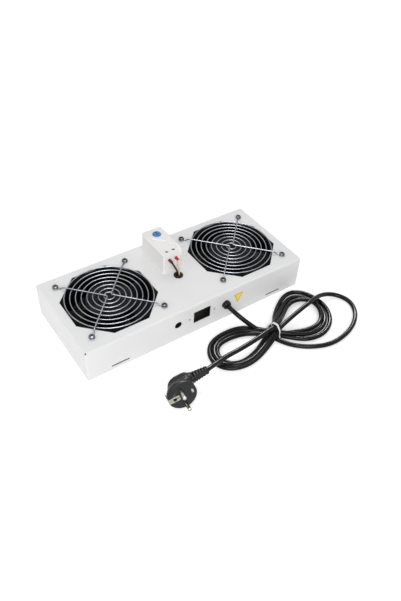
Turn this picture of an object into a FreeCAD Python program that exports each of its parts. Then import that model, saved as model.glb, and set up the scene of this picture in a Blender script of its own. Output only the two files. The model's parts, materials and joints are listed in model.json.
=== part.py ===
"""Rack fan tray: a folded steel tray with two 120 mm axial fans, wire guards,
a dial thermostat and a mains lead that is tied in a figure of eight.

Millimetres. +X runs to the right along the tray, +Y to the back, +Z up.
The origin is the middle of the tray's underside.
"""
import FreeCAD, Part
import math
import os
import re

import Sketcher
from FreeCAD import Placement, Rotation, Vector

os.makedirs("parts", exist_ok=True)
doc = FreeCAD.newDocument("rack_fan_tray")

X_AXIS = Vector(1, 0, 0)
Y_AXIS = Vector(0, 1, 0)
Z_AXIS = Vector(0, 0, 1)

# ---------------------------------------------------------------- sizes

SIZES = [
    # folded tray
    ("tray_width", 344, "left to right"),
    ("tray_depth", 145, "front to back"),
    ("tray_height", 50, "bottom edge to top panel"),
    ("sheet_thickness", 1.2, "steel sheet"),
    ("bend_radius", 2, "outside of each fold"),
    ("flange_width", 8, "return flange along the bottom, front and back"),
    ("corner_hole_radius", 1.1, "relief hole where three folds meet"),
    ("corner_hole_inset", 1.4, "relief hole centre from the two faces"),
    # openings in the tray
    ("octagon_room", 1, "air opening wider than the fan frame"),
    ("slot_spacing", 250, "fixing slots, centre to centre"),
    ("slot_length", 26, "fixing slot, end to end"),
    ("slot_width", 2.5, "fixing slot"),
    ("slot_height", 7, "fixing slot above the bottom edge"),
    ("inlet_width", 27, "appliance inlet cut-out"),
    ("inlet_height", 20, "appliance inlet cut-out"),
    ("inlet_centre_z", 27, "appliance inlet above the bottom edge"),
    ("inlet_screw_spacing", 40, "appliance inlet screws"),
    ("inlet_screw_radius", 1.25, "appliance inlet screw hole"),
    ("spare_hole_x", -38, "spare cable hole from the middle"),
    ("spare_hole_radius", 5.35, "spare cable hole"),
    # fans
    ("side_gap", 12.8, "fan frame to the tray's end"),
    ("fan_size", 119, "fan frame, square"),
    ("fan_depth", 38, "fan frame"),
    ("fan_flange", 5, "mounting flange of the fan frame"),
    ("fan_corner_radius", 4, "corner of the fan frame"),
    ("duct_inset", 2.1, "duct inside the fan frame's sides"),
    ("fan_wall", 1.8, "duct wall between the flanges"),
    ("fan_hole_inset", 7.1, "fan screw holes inside the frame's sides"),
    ("screw_hole_radius", 2.25, "clearance hole of a fan screw"),
    ("strut_count", 4, "struts that hold the motor"),
    ("strut_width", 5, "strut of the fan frame"),
    ("strut_height", 4, "strut of the fan frame"),
    ("motor_plate_radius", 31, "motor plate of the fan frame"),
    ("motor_plate_height", 3, "motor plate of the fan frame"),
    ("bearing_tube_radius", 6, "bearing tube of the fan frame"),
    ("bearing_tube_height", 26, "top of the bearing tube above the fan's base"),
    ("bearing_radius", 4, "outside of a bearing bush"),
    ("bearing_length", 6, "bearing bush"),
    ("shaft_radius", 2, "fan shaft"),
    ("running_gap", 0.05, "radial clearance of a shaft in its bush"),
    ("press_gap", 0.01, "radial clearance left at a press fit"),
    ("stator_radius", 20, "stator core"),
    ("stator_height", 12, "stator core"),
    ("stator_base", 10, "stator core above the fan's base"),
    ("winding_height", 4, "winding above and below the core"),
    ("air_gap", 1, "between stator and rotor cage"),
    ("hub_radius", 33, "impeller hub"),
    ("hub_wall", 2, "impeller hub"),
    ("hub_base", 5, "underside of the hub above the fan's base"),
    ("hub_top_gap", 2, "hub top below the fan's face"),
    ("rotor_wall", 1.8, "steel rotor can"),
    ("blade_count", 7, "blades of one impeller"),
    ("blade_thickness", 1.8, "impeller blade"),
    ("blade_base", 7, "blade's lower edge above the fan's base"),
    ("blade_height", 25, "blade from lower to upper edge"),
    ("blade_root_sweep", 21, "blade at the hub, around the axis"),
    ("blade_tip_sweep", 34, "blade at the tip, around the axis"),
    ("tip_gap", 0.9, "blade tip to duct"),
    # guards
    ("ring_count", 8, "rings of one guard"),
    ("ring_inset", 1, "largest guard ring inside the fan frame's sides"),
    ("ring_inner", 7, "radius of the smallest guard ring"),
    ("ring_wire", 1.5, "wire of the guard rings"),
    ("spoke_wire", 1.9, "wire of the guard spokes"),
    ("ring_height", 2.6, "ring centres above the top panel"),
    ("spoke_gap", 5, "between the two spoke wires at the guard's centre"),
    ("weld_depth", 0.25, "spoke pressed into a ring where it is welded"),
    # fan screws
    ("screw_radius", 2, "M4 screw"),
    ("screw_length", 15, "M4 screw under its head"),
    ("screw_head_radius", 3.9, "M4 pan head"),
    ("screw_head_height", 2.6, "M4 pan head"),
    ("nut_flats", 7, "M4 nut"),
    ("nut_height", 3.2, "M4 nut"),
    ("thread_gap", 0.05, "radial clearance left at a thread"),
    # thermostat
    ("thermostat_x", 0.5, "thermostat's middle from the tray's"),
    ("thermostat_y", 31, "thermostat's middle from the tray's"),
    ("thermostat_width", 31, "thermostat housing"),
    ("thermostat_length", 59, "thermostat housing"),
    ("thermostat_height", 33, "thermostat housing above the panel"),
    ("thermostat_wall", 1.8, "thermostat housing"),
    ("thermostat_roof", 5, "cover above its hollow"),
    ("thermostat_corner", 3, "upright edges of the housing"),
    ("thermostat_edge", 1.6, "edges around the cover's top"),
    ("recess_depth", 1.5, "front of the cover between its side walls"),
    ("wing_width", 2.6, "side wall in front of the recess"),
    ("base_height", 6, "thermostat base"),
    ("base_floor", 2, "thermostat base"),
    ("step_depth", 3, "lower front field of the cover"),
    ("dial_x", 1, "dial from the thermostat's middle"),
    ("dial_y", 15.3, "dial from the thermostat's middle"),
    ("dial_radius", 5.8, "dial"),
    ("dial_gap", 0.4, "dial in its opening"),
    ("dial_rise", 1.2, "dial above the cover"),
    ("dial_slot", 1.3, "screwdriver slot of the dial"),
    ("dial_shaft_radius", 2, "dial shaft"),
    ("boss_radius", 4, "boss of the dial shaft"),
    ("boss_height", 7, "boss of the dial shaft, from the panel"),
    ("terminal_pitch", 10.4, "thermostat terminals"),
    ("terminal_width", 7, "terminal cage"),
    ("terminal_length", 10, "terminal cage"),
    ("terminal_height", 10, "terminal cage"),
    ("terminal_seat", 15, "top of the terminal seat above the panel"),
    ("terminal_inset", 3.5, "terminal cage behind the cover's front"),
    ("terminal_bore_radius", 1.1, "wire hole of a terminal"),
    ("terminal_screw_radius", 1.5, "terminal screw"),
    ("terminal_screw_length", 4, "terminal screw under its head"),
    ("driver_hole_radius", 2.3, "opening above a terminal screw"),
    ("wire_entry_radius", 2.4, "wire opening in the cover's front"),
    ("sleeve_radius", 2.1, "insulated ferrule"),
    ("sleeve_length", 8, "insulated ferrule"),
    ("sleeve_reach", 4.5, "ferrule in front of the cover"),
    ("ferrule_pin_radius", 0.95, "bare end of a ferrule"),
    ("ferrule_pin_length", 7, "bare end of a ferrule"),
    ("small_screw_radius", 1.5, "M3 screw"),
    ("small_head_radius", 2.8, "M3 pan head"),
    ("small_head_height", 2, "M3 pan head"),
    ("small_screw_length", 7, "M3 screw under its head"),
    ("small_hole_radius", 1.7, "clearance hole of an M3 screw"),
    ("front_post_y", -9, "front screw post from the thermostat's middle"),
    ("rear_post_y", 25, "rear screw post from the thermostat's middle"),
    ("post_radius", 3.2, "screw post"),
    ("post_height", 8, "screw post, from the panel"),
    ("strip_width", 6, "bimetal strip"),
    ("strip_length", 26, "bimetal strip"),
    ("strip_thickness", 0.8, "bimetal strip"),
    ("strip_x", -9.5, "bimetal strip from the thermostat's middle"),
    ("strip_height", 9, "bimetal strip above the panel"),
    # grommet
    ("grommet_x", 1.2, "wire grommet from the tray's middle"),
    ("grommet_y", -10.8, "wire grommet from the tray's middle"),
    ("grommet_radius", 6.5, "wire grommet"),
    ("grommet_rise", 2.4, "wire grommet above the panel"),
    ("grommet_hole_radius", 5, "panel hole of the grommet"),
    ("grommet_bore_radius", 2.8, "wire grommet"),
    ("seat_gap", 0.1, "soft part in its hole"),
    # cable gland
    ("gland_gap", 1.2, "cable gland's axis from the fan frame's side"),
    ("gland_z", 27, "cable gland above the bottom edge"),
    ("gland_hole_radius", 5.3, "panel hole of the gland"),
    ("gland_head_radius", 6.1, "outer head of the gland"),
    ("gland_tip_radius", 5, "mouth of the gland"),
    ("gland_reach", 6, "gland in front of the tray"),
    ("gland_nut_radius", 7, "inner collar of the gland"),
    ("gland_nut_length", 4, "inner collar of the gland"),
    # label
    ("label_gap", 21.3, "triangular label beside the cable gland"),
    ("label_top", 37, "label's upper edge above the bottom edge"),
    ("label_width", 16.5, "triangular label"),
    ("label_height", 19, "triangular label"),
    ("label_thickness", 0.2, "triangular label"),
    # wiring inside
    ("block_width", 40, "terminal block"),
    ("block_depth", 16, "terminal block"),
    ("block_height", 22, "terminal block"),
    ("block_base", 20, "terminal block above the bottom edge"),
    ("block_pitch", 10, "terminal block, entry to entry"),
    ("block_row_gap", 14, "terminal block, row to row"),
    ("block_row", 4, "lower row above the block's underside"),
    ("block_entry_depth", 8, "wire entry of the terminal block"),
    ("block_screw_spacing", 30, "screws of the terminal block"),
    ("wire_reach", 6, "wire inside its entry"),
    ("core_radius", 1.1, "core of the mains lead"),
    ("hookup_radius", 1.2, "thermostat wire"),
    ("fan_lead_radius", 2, "fan lead"),
    ("fan_lead_y", 22, "where a fan lead starts"),
    ("wire_gap", 0.1, "wire in its hole"),
    ("earth_gap", 7, "ring tag beside the terminal block"),
    ("earth_drop", 32, "earth screw below the top panel"),
    ("tag_radius", 4.5, "ring tag"),
    ("tag_thickness", 0.8, "ring tag"),
    ("barrel_radius", 1.7, "crimp barrel of the ring tag"),
    ("barrel_length", 6, "crimp barrel of the ring tag"),
    # mains lead
    ("cord_radius", 3.25, "mains lead"),
    ("sheath_inside", 4.5, "sheath behind the front wall"),
    ("hank_height", 10, "two layers of turns"),
    ("knot_height", 19, "the turns where they cross"),
    ("knot_length", 24, "the tied crossing, along the turns"),
    ("knot_width", 17, "the tied crossing, across the turns"),
    ("tie_width", 3, "wire tie"),
    ("tie_thickness", 0.9, "wire tie"),
    # plug
    ("plug_face_radius", 19, "plug face"),
    ("plug_rim", 4, "cylindrical rim of the plug"),
    ("plug_depth", 26, "plug behind its face"),
    ("plug_back_radius", 12, "plug at its back"),
    ("plug_flat", 17.4, "earth contact flats from the plug's axis"),
    ("plug_axis_depth", 22, "lead's axis behind the plug face"),
    ("plug_arm_radius", 8.5, "arm of the plug"),
    ("plug_arm_length", 20, "arm of the plug from its axis"),
    ("boot_length", 23, "strain relief of the plug"),
    ("boot_radius", 6.8, "strain relief at the plug"),
    ("boot_tip_radius", 5.2, "strain relief at the lead"),
    ("pin_radius", 2.4, "plug pin"),
    ("pin_length", 19, "plug pin"),
    ("pin_spacing", 19, "plug pins"),
    ("contact_width", 7.5, "earth contact"),
    ("contact_thickness", 0.6, "earth contact"),
    ("contact_leg", 12, "earth contact along the plug's side"),
    ("contact_face", 12, "earth contact across the plug's face"),
    ("contact_hole_radius", 2.4, "earth pin hole"),
    ("contact_hole_x", 10, "earth pin hole from the plug's axis"),
]

# sizes that follow from others
FOLLOWING = [
    ("fan_spacing", "=tray_width - fan_size - 2 * side_gap", "fan centre to fan centre"),
    ("bay_half_width", "=(fan_spacing - fan_size) / 2", "half the gap between the two fans"),
    ("fan_bore_radius", "=fan_size / 2 - duct_inset", "air duct of the fan"),
    ("fan_hole_pitch", "=fan_size - 2 * fan_hole_inset", "fan screw holes"),
    ("octagon_flats", "=fan_size + octagon_room", "air opening across its flats"),
    ("ring_outer", "=fan_size / 2 - ring_inset", "radius of the largest guard ring"),
    ("gland_x", "=bay_half_width - gland_gap", "cable gland from the middle"),
    ("label_x", "=gland_x + label_gap", "triangular label from the middle"),
    ("earth_x", "=block_width / 2 + tag_radius + earth_gap", "earth screw from the middle"),
    ("earth_z", "=tray_height - earth_drop", "earth screw above the bottom edge"),
]

sheet = doc.addObject("Spreadsheet::Sheet", "sizes")
for row, (alias, number, note) in enumerate(SIZES + FOLLOWING, start=1):
    sheet.set("A%d" % row, alias)
    sheet.set("B%d" % row, str(number))
    sheet.setAlias("B%d" % row, alias)
    sheet.set("C%d" % row, note)
doc.recompute()
ALIASES = {alias for alias, number, note in SIZES + FOLLOWING}


def size(alias):
    """Value of one cell of the sheet."""
    return float(sheet.get(alias))


def linked(text):
    """Expression in which each alias points at its cell."""
    return re.sub(r"[a-z_]+", lambda m: "sizes." + m.group() if m.group() in ALIASES else m.group(), str(text))


# ---------------------------------------------------------------- document helpers

parts = []


def finished(item, label):
    """Names a sub-part and puts it on the list of those to write."""
    item.Label = label
    parts.append(item)
    return item


def put(item, x="0", y="0", z="0", rotation=None):
    """Places an item, with its position bound to the sheet."""
    if rotation:
        item.Placement = Placement(Vector(), rotation)
    for axis, text in zip("xyz", (x, y, z)):
        item.setExpression("Placement.Base." + axis, linked(text))
    return item


def new_body(name, x="0", y="0", z="0", rotation=None):
    return put(doc.addObject("PartDesign::Body", name), x, y, z, rotation)


def new_sketch(body, role, offset="0"):
    """Sketch on one of the body's own origin planes, moved along its normal."""
    plane = [item for item in body.Origin.OriginFeatures if item.Role == role][0]
    sketch = body.newObject("Sketcher::SketchObject", body.Name + "_sketch")
    sketch.AttachmentSupport = (plane, [""])
    sketch.MapMode = "FlatFace"
    sketch.setExpression("AttachmentOffset.Base.z", linked(offset))
    return sketch


def fix_point(sketch, geometry, end, x, y, start=(1.0, 1.0)):
    """Ties a point of the sketch to two expressions; start is a first guess of their values."""
    for kind, text, guess in (("DistanceX", x, start[0]), ("DistanceY", y, start[1])):
        number = sketch.addConstraint(Sketcher.Constraint(kind, -1, 1, geometry, end, guess))
        sketch.setExpression("Constraints[%d]" % number, linked(text))


def polygon(sketch, points):
    """Closed outline through points given as expressions."""
    count = len(points)
    turns = [2 * math.pi * k / count for k in range(count)]
    start = [Vector(10 * math.cos(turn), 10 * math.sin(turn), 0) for turn in turns]
    lines = [sketch.addGeometry(Part.LineSegment(start[k], start[(k + 1) % count])) for k in range(count)]
    for k in range(count):
        sketch.addConstraint(Sketcher.Constraint("Coincident", lines[k], 2, lines[(k + 1) % count], 1))
    for line, (x, y) in zip(lines, points):
        fix_point(sketch, line, 1, x, y)


def rectangle(sketch, x, y, width, height):
    """Rectangle around the point x, y."""
    left, right = "%s - (%s) / 2" % (x, width), "%s + (%s) / 2" % (x, width)
    low, high = "%s - (%s) / 2" % (y, height), "%s + (%s) / 2" % (y, height)
    polygon(sketch, [(left, low), (right, low), (right, high), (left, high)])


def circle(sketch, x, y, radius):
    geometry = sketch.addGeometry(Part.Circle(Vector(), Z_AXIS, 1))
    fix_point(sketch, geometry, 3, x, y)
    number = sketch.addConstraint(Sketcher.Constraint("Radius", geometry, 1.0))
    sketch.setExpression("Constraints[%d]" % number, linked(radius))


def fixing_slot(sketch, sign):
    """Slot with round ends, left (-1) or right (1) of the middle."""
    radius = size("slot_width") / 2
    height = size("slot_height")
    middle = sign * size("slot_spacing") / 2
    reach = size("slot_length") / 2 - radius
    left, right = Vector(middle - reach, height, 0), Vector(middle + reach, height, 0)
    rise = Vector(0, radius, 0)
    left_end = Part.ArcOfCircle(Part.Circle(left, Z_AXIS, radius), math.radians(90), math.radians(270))
    right_end = Part.ArcOfCircle(Part.Circle(right, Z_AXIS, radius), math.radians(270), math.radians(450))
    edges = [left_end, Part.LineSegment(left - rise, right - rise), right_end,
             Part.LineSegment(right + rise, left + rise)]
    numbers = [sketch.addGeometry(edge) for edge in edges]
    for first, second in zip(numbers, numbers[1:] + numbers[:1]):
        sketch.addConstraint(Sketcher.Constraint("Tangent", first, 2, second, 1))
    sketch.addConstraint(Sketcher.Constraint("Equal", numbers[0], numbers[2]))
    centre = "%d * slot_spacing / 2" % sign
    for number, way, place in ((numbers[0], "-", left), (numbers[2], "+", right)):
        fix_point(sketch, number, 3, "%s %s (slot_length - slot_width) / 2" % (centre, way), "slot_height",
                  (place.x, place.y))
    number = sketch.addConstraint(Sketcher.Constraint("Radius", numbers[0], radius))
    sketch.setExpression("Constraints[%d]" % number, linked("slot_width / 2"))


def feature(body, kind, sketch, length=None, reverse=False, adds=True):
    """Adds a feature made from a sketch, and checks that it changed the solid the right way."""
    before = body.Shape.Volume if body.Tip else 0
    item = body.newObject("PartDesign::" + kind, body.Name + "_" + kind.lower())
    item.Profile = sketch
    if length is None:
        item.ReferenceAxis = (sketch, ["V_Axis"])
        item.Angle = 360
    else:
        item.setExpression("Length", linked(length))
        item.Reversed = reverse
    sketch.Visibility = False
    doc.recompute()
    if (body.Shape.Volume > before) != adds:
        raise RuntimeError("%s of %s changed nothing" % (kind, body.Name))
    return item


def pad(body, sketch, length, reverse=False):
    return feature(body, "Pad", sketch, length, reverse)


def pocket(body, sketch, length, reverse=False):
    return feature(body, "Pocket", sketch, length, reverse, adds=False)


def revolve(body, sketch):
    return feature(body, "Revolution", sketch)


def repeat(body, original, count):
    """Repeats a feature around the body's Z axis."""
    pattern = body.newObject("PartDesign::PolarPattern", body.Name + "_pattern")
    pattern.Originals = [original]
    pattern.Axis = ([item for item in body.Origin.OriginFeatures if item.Role == "Z_Axis"][0], [""])
    pattern.Angle = 360
    pattern.setExpression("Occurrences", linked(count))
    body.Tip = pattern
    doc.recompute()
    return pattern


def round_edges(body, radius, chosen):
    """Fillets the edges of the body's last feature for which chosen(edge) is true."""
    base = body.Tip
    names = ["Edge%d" % k for k, edge in enumerate(base.Shape.Edges, start=1) if chosen(edge)]
    item = body.newObject("PartDesign::Fillet", body.Name + "_fillet")
    item.Base = (base, names)
    item.setExpression("Radius", linked(radius))
    doc.recompute()
    return item


def is_upright(edge):
    """True for a straight edge along Z."""
    first, last = edge.Vertexes[0].Point, edge.Vertexes[-1].Point
    return abs(first.z - last.z) > 0.01 and (first - last).cross(Z_AXIS).Length < 0.01


def turned_part(name, outline, x="0", y="0", z="0", rotation=None):
    """Body of revolution: outline lists radius and height, and its own Z is the axis."""
    body = new_body(name, x, y, z, rotation)
    sketch = new_sketch(body, "XZ_Plane")
    polygon(sketch, outline)
    revolve(body, sketch)
    return body


def make_copies(label, source, places):
    """One node of separate solids: the source repeated at each placement."""
    links = []
    for k, place in enumerate(places, start=1):
        link = doc.addObject("App::Link", "%s_%d" % (label, k))
        link.LinkedObject = source
        link.Placement = place
        links.append(link)
    group = doc.addObject("Part::Compound", label + "_group")
    group.Links = links
    doc.recompute()
    return finished(group, label)


def block(name, length, width, height, x="0", y="0", z="0", rotation=None):
    """Part::Box whose corner is at x, y, z."""
    item = doc.addObject("Part::Box", name)
    for prop, text in (("Length", length), ("Width", width), ("Height", height)):
        item.setExpression(prop, linked(text))
    return put(item, x, y, z, rotation)


def rod(name, radius, height, x="0", y="0", z="0", rotation=None):
    """Part::Cylinder along its own Z."""
    item = doc.addObject("Part::Cylinder", name)
    item.setExpression("Radius", linked(radius))
    item.setExpression("Height", linked(height))
    return put(item, x, y, z, rotation)


def joined(name, items):
    item = doc.addObject("Part::MultiFuse", name)
    item.Shapes = items
    return item


def cut(name, base, tools):
    item = doc.addObject("Part::Cut", name)
    item.Base = base
    item.Tool = tools[0] if len(tools) == 1 else joined(name + "_tools", tools)
    return item


def shaped(label, shape, place=None):
    """Sub-part whose shape is worked out by Part's own functions."""
    item = doc.addObject("Part::Feature", label + "_solid")
    item.Shape = shape
    if place:
        item.Placement = place
    return finished(item, label)


# ---------------------------------------------------------------- wires and cords

ARC_SHARE = 0.45


def bent_edges(points, bend=None):
    """Straight runs joined by tangent arcs, and the radius of each arc.

    Each arc has the radius bend, or as large a one as its two runs allow.
    """
    edges, radii = [], []
    start = points[0]
    for before, corner, after in zip(points, points[1:], points[2:]):
        back, ahead = before - corner, after - corner
        half_turn = (math.pi - back.getAngle(ahead)) / 2
        reach = ARC_SHARE * min(back.Length, ahead.Length)
        if bend is not None:
            reach = min(reach, bend * math.tan(half_turn))
        radius = reach / math.tan(half_turn)
        entry = corner + Vector(back).normalize() * reach
        leave = corner + Vector(ahead).normalize() * reach
        inward = (Vector(back).normalize() + Vector(ahead).normalize()).normalize()
        middle = corner + inward * (radius / math.cos(half_turn) - radius)
        edges.append(Part.LineSegment(start, entry).toShape())
        edges.append(Part.Arc(entry, middle, leave).toShape())
        start = leave
        radii.append(radius)
    edges.append(Part.LineSegment(start, points[-1]).toShape())
    return edges, radii


def tube(name, points, radius, bend=None):
    """Round solid along a bent path; its volume is compared with section times length."""
    points = [Vector(*point) for point in points]
    edges, radii = bent_edges(points, bend)
    path = Part.Wire(edges)
    ring = Part.Wire(Part.Circle(points[0], points[1] - points[0], radius).toShape())
    solid = path.makePipeShell([ring], True, True)
    expected = math.pi * radius ** 2 * path.Length
    if abs(solid.Volume - expected) > 0.02 * expected:
        raise RuntimeError("%s has the wrong volume" % name)
    print("%-18s length %7.1f  radii %s" % (name, path.Length, " ".join("%.0f" % r for r in radii)))
    return solid


def closed_curve(points, height):
    """Prism on a smooth closed outline."""
    curve = Part.BSplineCurve()
    curve.interpolate([Vector(x, y, 0) for x, y in points], PeriodicFlag=True)
    return Part.Face(Part.Wire(curve.toShape())).extrude(Vector(0, 0, height))


# ---------------------------------------------------------------- tray

def make_tray():
    body = new_body("tray_body")
    outline = new_sketch(body, "XY_Plane")
    rectangle(outline, "0", "0", "tray_width", "tray_depth")
    pad(body, outline, "tray_height")
    round_edges(body, "bend_radius", lambda edge: edge.BoundBox.ZMax > size("tray_height") / 4)

    hollow = new_sketch(body, "XY_Plane")
    rectangle(hollow, "0", "0", "tray_width - 2 * sheet_thickness", "tray_depth - 2 * sheet_thickness")
    pocket(body, hollow, "tray_height - sheet_thickness", reverse=True)

    flanges = new_sketch(body, "XY_Plane")
    for sign in ("-1", "1"):
        middle = sign + " * (tray_depth - flange_width - sheet_thickness) / 2"
        rectangle(flanges, "0", middle, "tray_width - 4 * sheet_thickness", "flange_width")
    pad(body, flanges, "sheet_thickness")

    openings = new_sketch(body, "XY_Plane", "tray_height")
    flat, side = "octagon_flats / 2", "octagon_flats / 2 * (sqrt(2) - 1)"
    for sign in (-1, 1):
        centre = "%d * fan_spacing / 2" % sign
        corners = [(side, flat), (flat, side), (flat, "-" + side), (side, "-" + flat),
                   ("-" + side, "-" + flat), ("-" + flat, "-" + side), ("-" + flat, side), ("-" + side, flat)]
        polygon(openings, [(centre + " + " + x, y) for x, y in corners])
        for x_sign in (-1, 1):
            for y_sign in (-1, 1):
                circle(openings, "%s + %d * fan_hole_pitch / 2" % (centre, x_sign),
                       "%d * fan_hole_pitch / 2" % y_sign, "screw_hole_radius")
    circle(openings, "grommet_x", "grommet_y", "grommet_hole_radius")
    for post in ("front_post_y", "rear_post_y"):
        circle(openings, "thermostat_x", "thermostat_y + " + post, "small_hole_radius")
    circle(openings, "corner_hole_inset - tray_width / 2", "corner_hole_inset - tray_depth / 2",
           "corner_hole_radius")
    pocket(body, openings, "2 * sheet_thickness")

    front = new_sketch(body, "XZ_Plane", "tray_depth / 2")
    for sign in (-1, 1):
        fixing_slot(front, sign)
    rectangle(front, "0", "inlet_centre_z", "inlet_width", "inlet_height")
    circle(front, "spare_hole_x", "inlet_centre_z", "spare_hole_radius")
    pocket(body, front, "2 * sheet_thickness")
    for holes in ([("%d * inlet_screw_spacing / 2" % sign, "inlet_centre_z", "inlet_screw_radius")
                   for sign in (-1, 1)], [("gland_x", "gland_z", "gland_hole_radius")]):
        around = new_sketch(body, "XZ_Plane", "tray_depth / 2")
        for hole in holes:
            circle(around, *hole)
        pocket(body, around, "2 * sheet_thickness")

    rear = new_sketch(body, "XZ_Plane", "-tray_depth / 2")
    for sign in (-1, 1):
        fixing_slot(rear, sign)
        circle(rear, "%d * block_screw_spacing / 2" % sign, "block_base + block_height / 2",
               "small_screw_radius + thread_gap")
    circle(rear, "earth_x", "earth_z", "screw_radius + thread_gap")
    pocket(body, rear, "2 * sheet_thickness", reverse=True)
    finished(body, "tray")


# ---------------------------------------------------------------- fans

FAN_BASE = "tray_height - sheet_thickness - fan_depth"


def make_fan_frame(side, x):
    """Cast frame: two square flanges, the duct between them, struts, motor plate and bearing tube."""
    body = new_body("frame_" + side, x, "0", FAN_BASE)
    square = new_sketch(body, "XY_Plane")
    rectangle(square, "0", "0", "fan_size", "fan_size")
    pad(body, square, "fan_depth")
    round_edges(body, "fan_corner_radius", is_upright)

    waist = new_sketch(body, "XY_Plane", "fan_flange")
    rectangle(waist, "0", "0", "fan_size + 2", "fan_size + 2")
    circle(waist, "0", "0", "fan_bore_radius + fan_wall")
    pocket(body, waist, "fan_depth - 2 * fan_flange", reverse=True)

    duct = new_sketch(body, "XY_Plane")
    circle(duct, "0", "0", "fan_bore_radius")
    for x_sign in (-1, 1):
        for y_sign in (-1, 1):
            circle(duct, "%d * fan_hole_pitch / 2" % x_sign, "%d * fan_hole_pitch / 2" % y_sign,
                   "screw_hole_radius")
    pocket(body, duct, "fan_depth", reverse=True)

    strut = new_sketch(body, "XY_Plane")
    rectangle(strut, "(fan_bore_radius + 1) / 2", "0", "fan_bore_radius + 1", "strut_width")
    first = pad(body, strut, "strut_height")
    repeat(body, first, "strut_count")

    plate = new_sketch(body, "XY_Plane")
    circle(plate, "0", "0", "motor_plate_radius")
    pad(body, plate, "motor_plate_height")

    well = new_sketch(body, "XY_Plane", "motor_plate_height")
    circle(well, "0", "0", "motor_plate_radius - 1")
    pocket(body, well, "fan_flange", reverse=True)

    bearing_tube = new_sketch(body, "XY_Plane", "motor_plate_height")
    circle(bearing_tube, "0", "0", "bearing_tube_radius")
    circle(bearing_tube, "0", "0", "bearing_radius + press_gap")
    pad(body, bearing_tube, "bearing_tube_height - motor_plate_height")
    finished(body, "fan_frame_" + side)


def make_stator(side, x):
    """Laminated core on the bearing tube, with a winding above and below it."""
    inner = "bearing_tube_radius + press_gap"
    core = turned_part("core_" + side, [
        (inner, "stator_base"), ("stator_radius", "stator_base"),
        ("stator_radius", "stator_base + stator_height"), (inner, "stator_base + stator_height")],
        x, "0", FAN_BASE)
    finished(core, "stator_core_" + side)

    windings = []
    for name, low in (("lower", "stator_base - winding_height"), ("upper", "stator_base + stator_height")):
        high = low + " + winding_height"
        winding = turned_part("winding_%s_%s" % (name, side), [
            (inner + " + 1", low), ("stator_radius - 2", low),
            ("stator_radius - 1", "(%s + %s) / 2" % (low, high)),
            ("stator_radius - 2", high), (inner + " + 1", high)], x, "0", FAN_BASE)
        windings.append(winding)
    pair = doc.addObject("Part::Compound", "windings_" + side)
    pair.Links = windings
    finished(pair, "stator_winding_" + side)


def make_bearings(side, x):
    """Two sintered bushes inside the bearing tube."""
    bush = turned_part("bush_" + side, [
        ("shaft_radius + running_gap", "0"), ("bearing_radius", "0"),
        ("bearing_radius", "bearing_length"), ("shaft_radius + running_gap", "bearing_length")])
    base = size("tray_height") - size("sheet_thickness") - size("fan_depth")
    centre = size("fan_spacing") / 2 * (-1 if side == "left" else 1)
    top = size("bearing_tube_height") - size("bearing_length")
    low = size("motor_plate_height") + size("bearing_length")
    places = [Placement(Vector(centre, 0, base + height), Rotation()) for height in (low, top)]
    make_copies("fan_bearings_" + side, bush, places)


def make_impeller(side, x):
    """Hub cup with curved blades."""
    body = new_body("impeller_body_" + side, x, "0", FAN_BASE)
    hub = new_sketch(body, "XY_Plane", "hub_base")
    circle(hub, "0", "0", "hub_radius")
    pad(body, hub, "fan_depth - hub_top_gap - hub_base")
    round_edges(body, "hub_wall", lambda edge: edge.BoundBox.ZMin > size("fan_depth") / 2)

    # a blade section is a bent strip on a plane square to the radius
    sections = []
    for offset, sweep in (("hub_radius - 3 * hub_wall", "blade_root_sweep"), ("fan_bore_radius", "blade_tip_sweep")):
        section = new_sketch(body, "YZ_Plane", offset)
        low, high = "blade_base", "blade_base + blade_height"
        middle = "(%s + %s) / 2 - blade_height / 10" % (low, high)
        half, thick = sweep + " / 2", "blade_thickness"
        polygon(section, [
            ("-(%s)" % half, low), ("%s / 8" % thick, middle), (half, high),
            ("%s - %s" % (half, thick), high), ("-(%s)" % thick, middle + " + blade_thickness / 2"),
            ("-(%s) - %s" % (half, thick), low)])
        section.Visibility = False
        sections.append(section)
    blade = body.newObject("PartDesign::AdditiveLoft", "blade_" + side)
    blade.Profile = sections[0]
    blade.Sections = [sections[1]]
    blade.Ruled = True
    doc.recompute()
    repeat(body, blade, "blade_count")

    sweep_limit = new_sketch(body, "XZ_Plane")
    tip = "fan_bore_radius - tip_gap"
    polygon(sweep_limit, [(tip, "-1"), ("2 * fan_bore_radius", "-1"),
                          ("2 * fan_bore_radius", "fan_depth + 1"), (tip, "fan_depth + 1")])
    feature(body, "Groove", sweep_limit, adds=False)

    cup = new_sketch(body, "XY_Plane")
    circle(cup, "0", "0", "hub_radius - hub_wall")
    pocket(body, cup, "fan_depth - hub_top_gap - hub_wall", reverse=True)
    finished(body, "impeller_" + side)


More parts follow.
